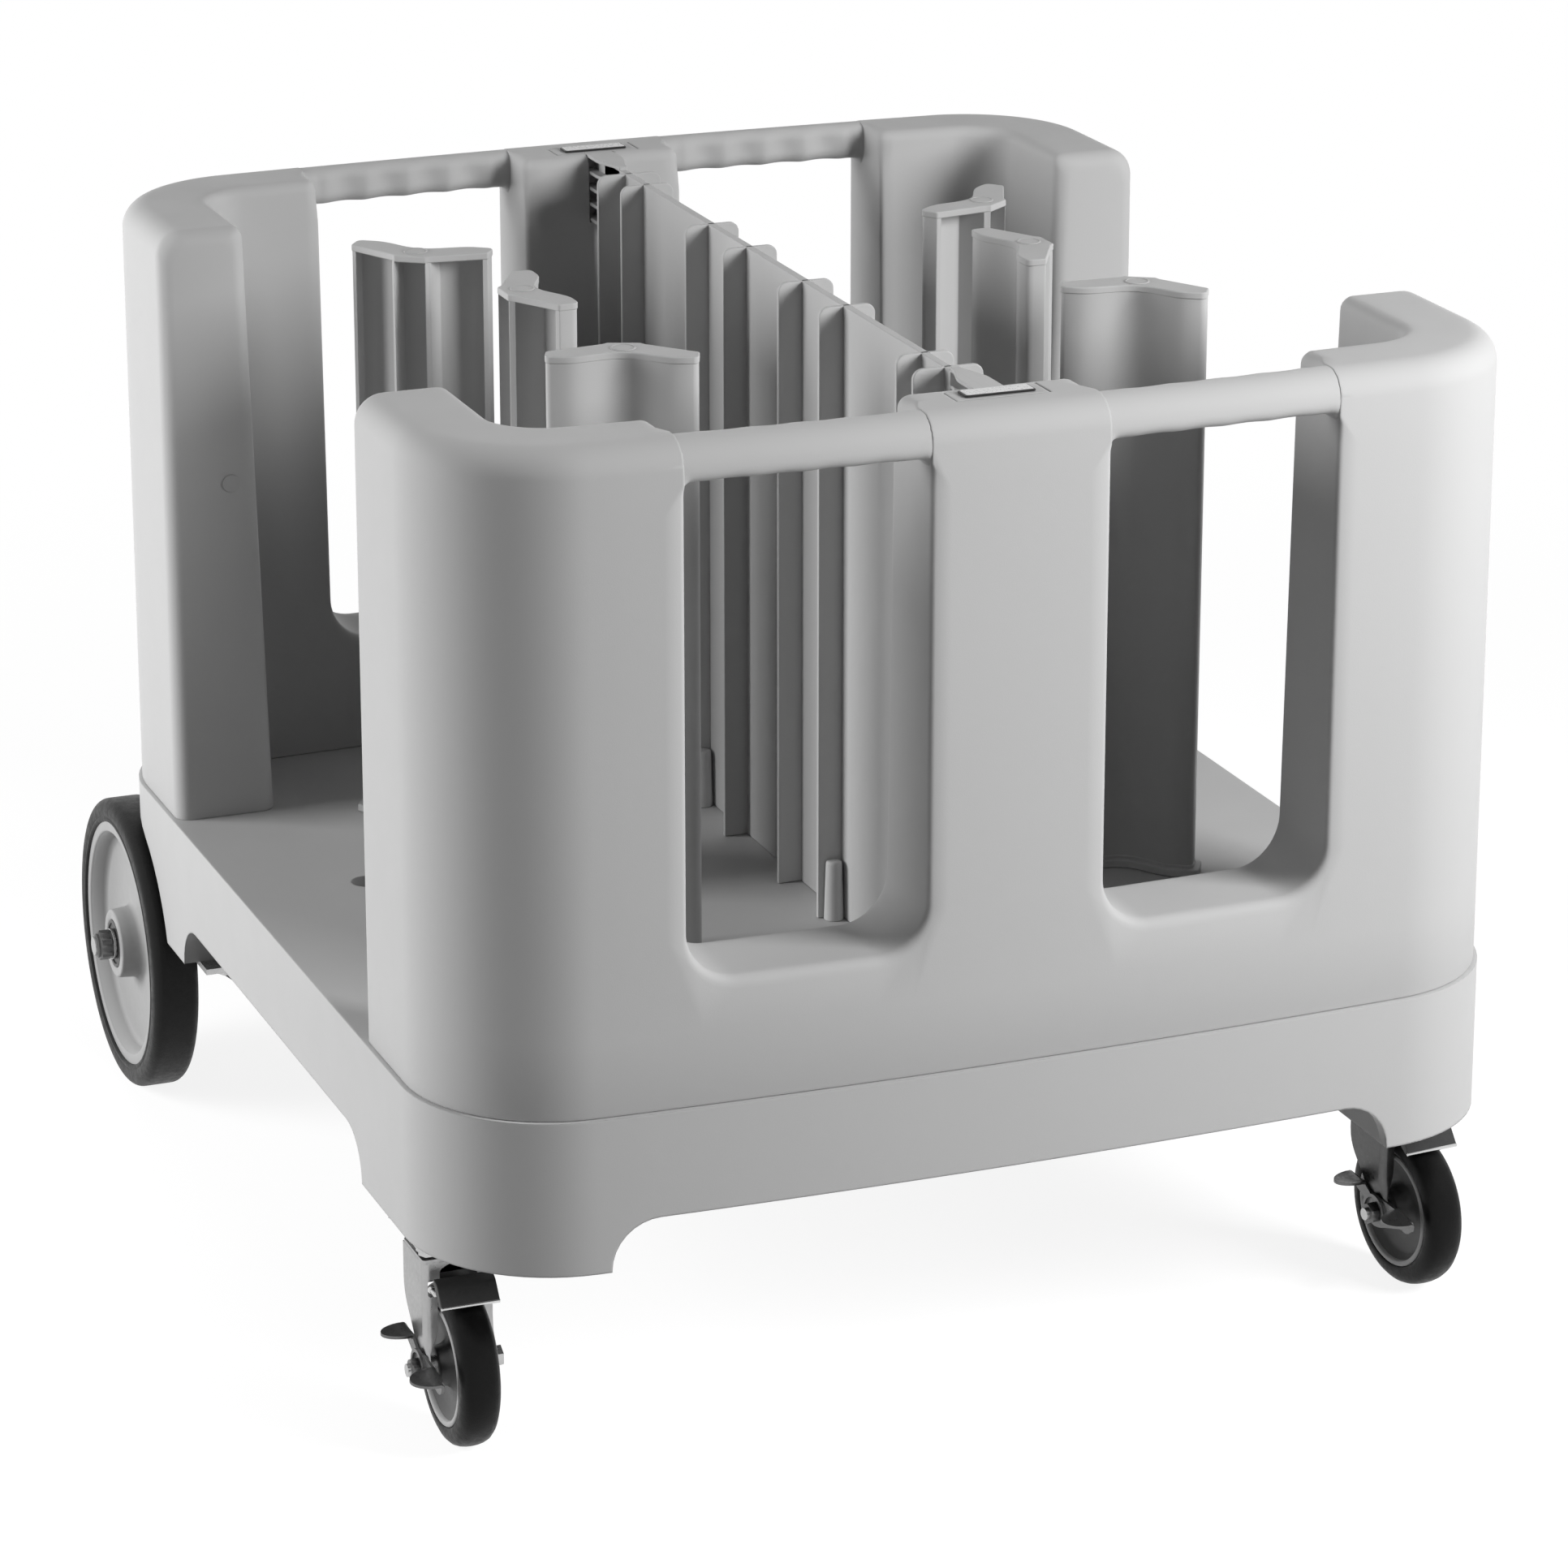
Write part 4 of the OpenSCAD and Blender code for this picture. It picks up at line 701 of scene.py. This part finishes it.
LEVER_SIDE = [
    (-9, -10), (-1, -11.5), (8, -9.5), (12.5, -2), (16, 6), (34, 14), (36, 19), (18.5, 19.5),
    (6, 12), (-10, 14), (-35, 13), (-53, 11), (-54, 2), (-36, -1)]


def angle_section(depth, lip, bend, t, sag=0.0):
    """Section of a bent sheet: a plate as deep as depth, round the bend and out along the lip."""
    reach = [bend + (lip - bend) * k / 4 for k in range(1, 5)]
    drop = [sag * math.sin(math.pi * k / 4) for k in range(1, 5)]
    outer = [(0.0, depth)] + arc(bend, bend, bend, 180, 270, 6) + list(zip(reach, drop))
    inner = [(u, v + t) for u, v in reversed(outer[-4:])]
    return outer + inner + arc(bend, bend, bend - t, 270, 180, 6) + [(t, depth)]


def fork_leg(side):
    """A leg of the fork, from the axle eye up to the crown: a side plate bent into a front flange."""
    rows = []
    for z in (49.7, 50.6, 52.4, 55, 58.5, 63.5, 68.5):
        half = math.sqrt(EYE_R**2 - (z - CASTOR_R) ** 2)
        rows.append((z, half - CASTOR_TRAIL, -CASTOR_TRAIL - half, 2.9))
    rings = []
    for z, rear, front, lip in rows + LEG_ROWS:
        bend = max(LEG_T + 0.3, min(5.5, 0.9 * lip))
        rings.append([(side * (FORK_HALF_W - u), front + v, z)
                      for u, v in angle_section(rear - front, lip, bend, LEG_T)])
    return skin(rings)


def fork(name, at):
    """Two slotted legs, the crown with its arched front edge, and a dark plate inside that is painted
    shade under the crown.
    """
    legs = new_object(name, *merge(fork_leg(-1), fork_leg(1)), at)
    slot = prism(round_rect(2.6, 7.0, 2.5), -30, -20, "y")
    carve(legs, [new_object("slot", *shifted(slot, Matrix.Translation((x, 0, STUD_Z))), at)
                 for x in (-STUD_X, STUD_X)])
    top = prism(round_rect(FORK_HALF_W - 0.1, 23.9, 3.0), CROWN_Z - 3.4, CROWN_Z)
    arch = [(15.5, 149.5), (15.5, 140.0)]
    arch += [(15.0 - 30.0 * i / 16, 140.5 + 7.0 * math.sin(math.pi * i / 16) ** 0.6) for i in range(17)]
    arch += [(-15.5, 140.0), (-15.5, 149.5)]
    crown = merge(shifted(top, Matrix.Translation((0, -2, 0))), prism(arch, -25.9, -23.6, "y"))
    # This dark plate is painted shade: it fills the shaded inside of the fork above the wheel.
    inner = box(-25.4, 25.4, -14.5, -12.5, 128.8, 149.2)
    inner = new_object(name + "_inner_painted_shade_plate", *inner, at)
    return legs, new_object(name + "_crown", *crown, at), inner


def studs():
    """The pins that run in the legs' slots, with their heads in front."""
    lay = Matrix(((1, 0, 0, 0), (0, 0, 1, 0), (0, 1, 0, STUD_Z), (0, 0, 0, 1)))
    pins = []
    for x in (-STUD_X, STUD_X):
        for profile in ([(2.3, -36.5), (2.3, -26.4)], [(3.3, -26.6), (3.4, -28.2), (2.6, -29.2)]):
            pins.append(shifted(spun(profile, 20), Matrix.Translation((x, 0, 0)) @ lay))
    return merge(*pins)


def shoe(name, at):
    """A wide bent brake plate between the legs with turned ends, and its round edge bead, one piece with
    the stud pins; the bead's bright steel is a painted highlight along the plate's lower edge.
    """
    ends = [prism(SHOE_END, low, low + 2.4, "x") for low in (-SHOE_HALF_W, SHOE_HALF_W - 2.4)]
    plate = merge(prism(SHOE_SIDE, 0.2 - SHOE_HALF_W, SHOE_HALF_W - 0.2, "x"), *ends)
    bead = prism(arc(-54.0, 123.7, 1.5, 0, 330, 11), 0.1 - SHOE_HALF_W, SHOE_HALF_W - 0.1, "x")
    return new_object(name, *plate, at), new_object(name + "_edge", *merge(bead, studs()), at)


def pedal_pad(y, z, half, depth, swollen, tilt, sag):
    """An oval pad turned outwards from the lever's plate with a round bend."""
    least, lip, bend = 4.2, 24.0, 4.0
    rings = []
    for i in range(17):
        s = math.sin(math.pi * (i / 16 - 0.5)) * 0.992
        swell = math.sqrt(1 - s * s)
        section = angle_section(depth + swollen * swell, least + (lip - least) * swell, bend, LEG_T,
                                sag * swell)
        rings.append([(LEVER_IN - u, half * s, LEG_T / 2 - v) for u, v in section])
    place = Matrix.Translation((0, y, z)) @ Matrix.Rotation(math.radians(tilt), 4, "X")
    return shifted(skin(rings), place)


def lever(name, at):
    """The brake lever: a plate round the axle with an arm and a pad at either end."""
    ring = arc(0, 0, 12.0, 0, 345, 23)
    strap = arc(0, 0, 15.4, -40, 175, 16) + arc(0, 0, 12.6, 175, -40, 16)
    return new_object(name, *merge(
        prism(rounded(LEVER_SIDE, 5.0, 5), LEVER_OUT + 0.2, LEVER_IN - 0.1, "x"),
        prism(ring, LEVER_OUT, LEVER_IN, "x"), prism(strap, LEVER_OUT - 2.1, LEVER_OUT + 0.9, "x"),
        pedal_pad(27, 20, 10.5, 3.0, 2.5, 6.0, 0.7),
        pedal_pad(-44, 12, 11.0, 5.0, 9.5, 16.0, 1.3)), at)


for side, sign, turn in (("left", -1, 0), ("right", 1, 5)):
    swivel_at = (Matrix.Translation((sign * CASTOR_X, BODY_Y - CASTOR_Y, 0))
                 @ Matrix.Rotation(math.radians(turn), 4, "Z"))
    at = swivel_at @ Matrix.Translation((0, -CASTOR_TRAIL, CASTOR_R))
    castor, brake = side + "_castor_", side + "_brake_"
    wheel, swivel = castor + "wheel", castor + "swivel"
    tyre = new_object(castor + "rubber", *lathe(C_TYRE, 128), at)
    dress(tyre, CASTOR_RUBBER, wheel, [castor + "tyre"], sharp=50)
    core = new_object(castor + "disc", *lathe(C_CORE, 128), at)
    dress(core, CORE, wheel, [castor + "core"], sharp=50)
    rim = new_object(castor + "rim", *lathe(C_RIM, 128), at)
    dress(rim, CORE_RIM, wheel, [castor + "core"], sharp=50)
    # Each castor's fork takes its own copy of the fork steel: painted lighter on the left castor for its
    # light, darker on the right for its shade.
    steel = FORK_STEEL_PAINTED_LIGHT_AND_SHADE[side]
    # The inner plate takes the dark steel as painted shade inside the fork.
    for piece, finish in zip(fork(castor + "legs", swivel_at), (steel, steel, DARK)):
        dress(piece, finish, swivel, [castor + "fork"], bevel=0.35, sharp=40)
    plate, edge = shoe(side + "_shoe_plate", swivel_at)
    dress(plate, SHOE_STEEL, brake + "pad", [brake + "shoe"], bevel=0.4, sharp=40)
    # The shoe's edge bead is bright steel against the dark plate: a painted highlight along its lower
    # edge.
    dress(edge, STUD_STEEL_AND_PAINTED_HIGHLIGHT, brake + "pad", [brake + "shoe"], sharp=50)
    facing = at @ Matrix.Rotation(math.pi, 4, "Z")
    nut = new_object(castor + "lock_nut", *hex_nut(9.0, 31.1, 38.1), facing)
    dress(nut, NUT_STEEL, swivel, [castor + "axle_nut"], sharp=24)
    pedal = lever(side + "_lever_plate", at)
    dress(pedal, LEVER_STEEL, brake + "pedal", [brake + "lever"], bevel=0.35, sharp=40)

# ---- solids that stay, with their finishes


def smooth_by_angle(limit):
    """Nodes that shade round a mesh's shallow steps and keep its real edges sharp."""
    group = bpy.data.node_groups.new("smooth_by_angle", "GeometryNodeTree")
    group.interface.new_socket("Geometry", in_out="INPUT", socket_type="NodeSocketGeometry")
    group.interface.new_socket("Geometry", in_out="OUTPUT", socket_type="NodeSocketGeometry")
    add, link = group.nodes.new, group.links.new
    source, sink = add("NodeGroupInput"), add("NodeGroupOutput")
    weld = add("GeometryNodeMergeByDistance")
    weld.inputs["Distance"].default_value = 2e-5
    drop = add("GeometryNodeRemoveAttribute")
    drop.inputs["Name"].default_value = "custom_normal"
    round_off, mark = add("GeometryNodeSetShadeSmooth"), add("GeometryNodeStoreNamedAttribute")
    mark.data_type, mark.domain = "BOOLEAN", "EDGE"
    mark.inputs["Name"].default_value = "sharp_edge"
    angle, steep = add("GeometryNodeInputMeshEdgeAngle"), add("FunctionNodeCompare")
    steep.data_type, steep.operation = "FLOAT", "GREATER_THAN"
    steep.inputs["B"].default_value = math.radians(limit)
    link(source.outputs[0], weld.inputs["Geometry"])
    link(weld.outputs["Geometry"], drop.inputs["Geometry"])
    link(drop.outputs["Geometry"], round_off.inputs["Geometry"])
    link(round_off.outputs["Geometry"], mark.inputs["Geometry"])
    link(angle.outputs["Unsigned Angle"], steep.inputs["A"])
    link(steep.outputs["Result"], mark.inputs["Value"])
    link(mark.outputs["Geometry"], sink.inputs[0])
    return group


rounding = smooth_by_angle(24.0)
DARK_WORDS = ("lever", "kingpin", "balls", "bearings")
STEEL_WORDS = ("bolts", "bracket", "axle", "washers", "spacer", "bush", "castor_plate", "pins")
for name, ob in nodes.items():
    if "vent_plugs" in name:
        mat = THIN_PLASTIC
    elif any(word in name for word in DARK_WORDS):
        mat = DARK
    elif name.endswith("nut"):
        mat = NUT_STEEL
    elif any(word in name for word in STEEL_WORDS):
        mat = ZINC
    else:
        mat = PLASTIC
    ob.data.materials.clear()
    ob.data.materials.append(mat)
    ob.modifiers.new("rounding", "NODES").node_group = rounding

# ---- studio


def area_light(name, place, target, size, power):
    """A square softbox that lights the cart without a glare on it."""
    data = bpy.data.lights.new(name, "AREA")
    data.size, data.energy = size, power
    ob = bpy.data.objects.new(name, data)
    ob.location = place
    ob.rotation_mode = "QUATERNION"
    ob.rotation_quaternion = (Vector(target) - Vector(place)).to_track_quat("-Z", "Y")
    ob.visible_glossy = False
    scene.collection.objects.link(ob)
    return ob


area_light("right_softbox", (1.6, -2.0, 1.7), (0, -0.2, 0.45), 1.1, 80)
area_light("left_softbox", (-2.95, 0.85, 1.2), (-0.3, 0, 0.4), 1.6, 92)
area_light("overhead", (0.0, 0.4, 3.2), (0, 0, 0.3), 2.0, 4)


def shown(tree):
    """One where the camera, a gloss or a clear material looks at a surface, zero elsewhere."""
    rays = tree.nodes.new("ShaderNodeLightPath")
    found = rays.outputs["Is Camera Ray"]
    for kind in ("Is Glossy Ray", "Is Transmission Ray"):
        either = tree.nodes.new("ShaderNodeMath")
        either.operation = "MAXIMUM"
        tree.links.new(found, either.inputs[0])
        tree.links.new(rays.outputs[kind], either.inputs[1])
        found = either.outputs["Value"]
    return found


world = bpy.data.worlds.new("studio")
scene.world = world
world.use_nodes = True
t = world.node_tree
level = t.nodes.new("ShaderNodeMapRange")
level.inputs["To Min"].default_value = 0.015
level.inputs["To Max"].default_value = 1.0
t.links.new(shown(t), level.inputs["Value"])
t.nodes["Background"].inputs["Color"].default_value = (1, 1, 1, 1)
t.links.new(level.outputs["Result"], t.nodes["Background"].inputs["Strength"])

floor_mat = bpy.data.materials.new("studio_floor")
floor_mat.use_nodes = True
t = floor_mat.node_tree
diffuse = t.nodes.new("ShaderNodeBsdfDiffuse")
tone = t.nodes.new("ShaderNodeMapRange")
tone.inputs["To Min"].default_value = 0.35
tone.inputs["To Max"].default_value = 2.0
share = t.nodes.new("ShaderNodeMapRange")
share.inputs["To Min"].default_value = 0.0
spot = t.nodes.new("ShaderNodeTexCoord")
away = t.nodes.new("ShaderNodeVectorMath")
away.operation = "LENGTH"
fade = t.nodes.new("ShaderNodeMapRange")
fade.interpolation_type = "SMOOTHSTEP"
fade.inputs["From Min"].default_value = 0.8
fade.inputs["From Max"].default_value = 2.4
fade.inputs["To Min"].default_value = 0.87
fade.inputs["To Max"].default_value = 1.0
seen = shown(t)
t.links.new(spot.outputs["Object"], away.inputs[0])
t.links.new(away.outputs["Value"], fade.inputs["Value"])
t.links.new(fade.outputs["Result"], share.inputs["To Max"])
t.links.new(seen, tone.inputs["Value"])
t.links.new(seen, share.inputs["Value"])
t.links.new(tone.outputs["Result"], diffuse.inputs["Color"])
glow = t.nodes.new("ShaderNodeEmission")
mix = t.nodes.new("ShaderNodeMixShader")
t.links.new(share.outputs["Result"], mix.inputs["Fac"])
t.links.new(diffuse.outputs["BSDF"], mix.inputs[1])
t.links.new(glow.outputs["Emission"], mix.inputs[2])
t.links.new(mix.outputs["Shader"], t.nodes["Material Output"].inputs["Surface"])
floor = bpy.data.meshes.new("studio_floor")
floor.from_pydata([(-40, -40, 0), (40, -40, 0), (40, 40, 0), (-40, 40, 0)], [], [(0, 1, 2, 3)])
floor.materials.append(floor_mat)
floor = bpy.data.objects.new("studio_floor", floor)
scene.collection.objects.link(floor)

# ---- camera, from vanishing lines and the outline of the base

F, CX, CY, YAW, PITCH = 6763.3, 966.0, 734.0, 0.37562, 0.29976
camera = bpy.data.cameras.new("camera")
camera.sensor_width = 36.0
camera.lens = F / 1932 * 36.0
camera.shift_x = (966.0 - CX) / 1932
camera.shift_y = (CY - 966.0) / 1932
camera.clip_end = 200
ahead = Vector((math.sin(YAW) * math.cos(PITCH), math.cos(YAW) * math.cos(PITCH), -math.sin(PITCH)))
eye = bpy.data.objects.new("camera", camera)
eye.location = (-1.5576, -4.0002, 1.8343)
eye.rotation_mode = "QUATERNION"
eye.rotation_quaternion = ahead.to_track_quat("-Z", "Y")
scene.collection.objects.link(eye)
scene.camera = eye
scene.view_settings.view_transform = "Standard"
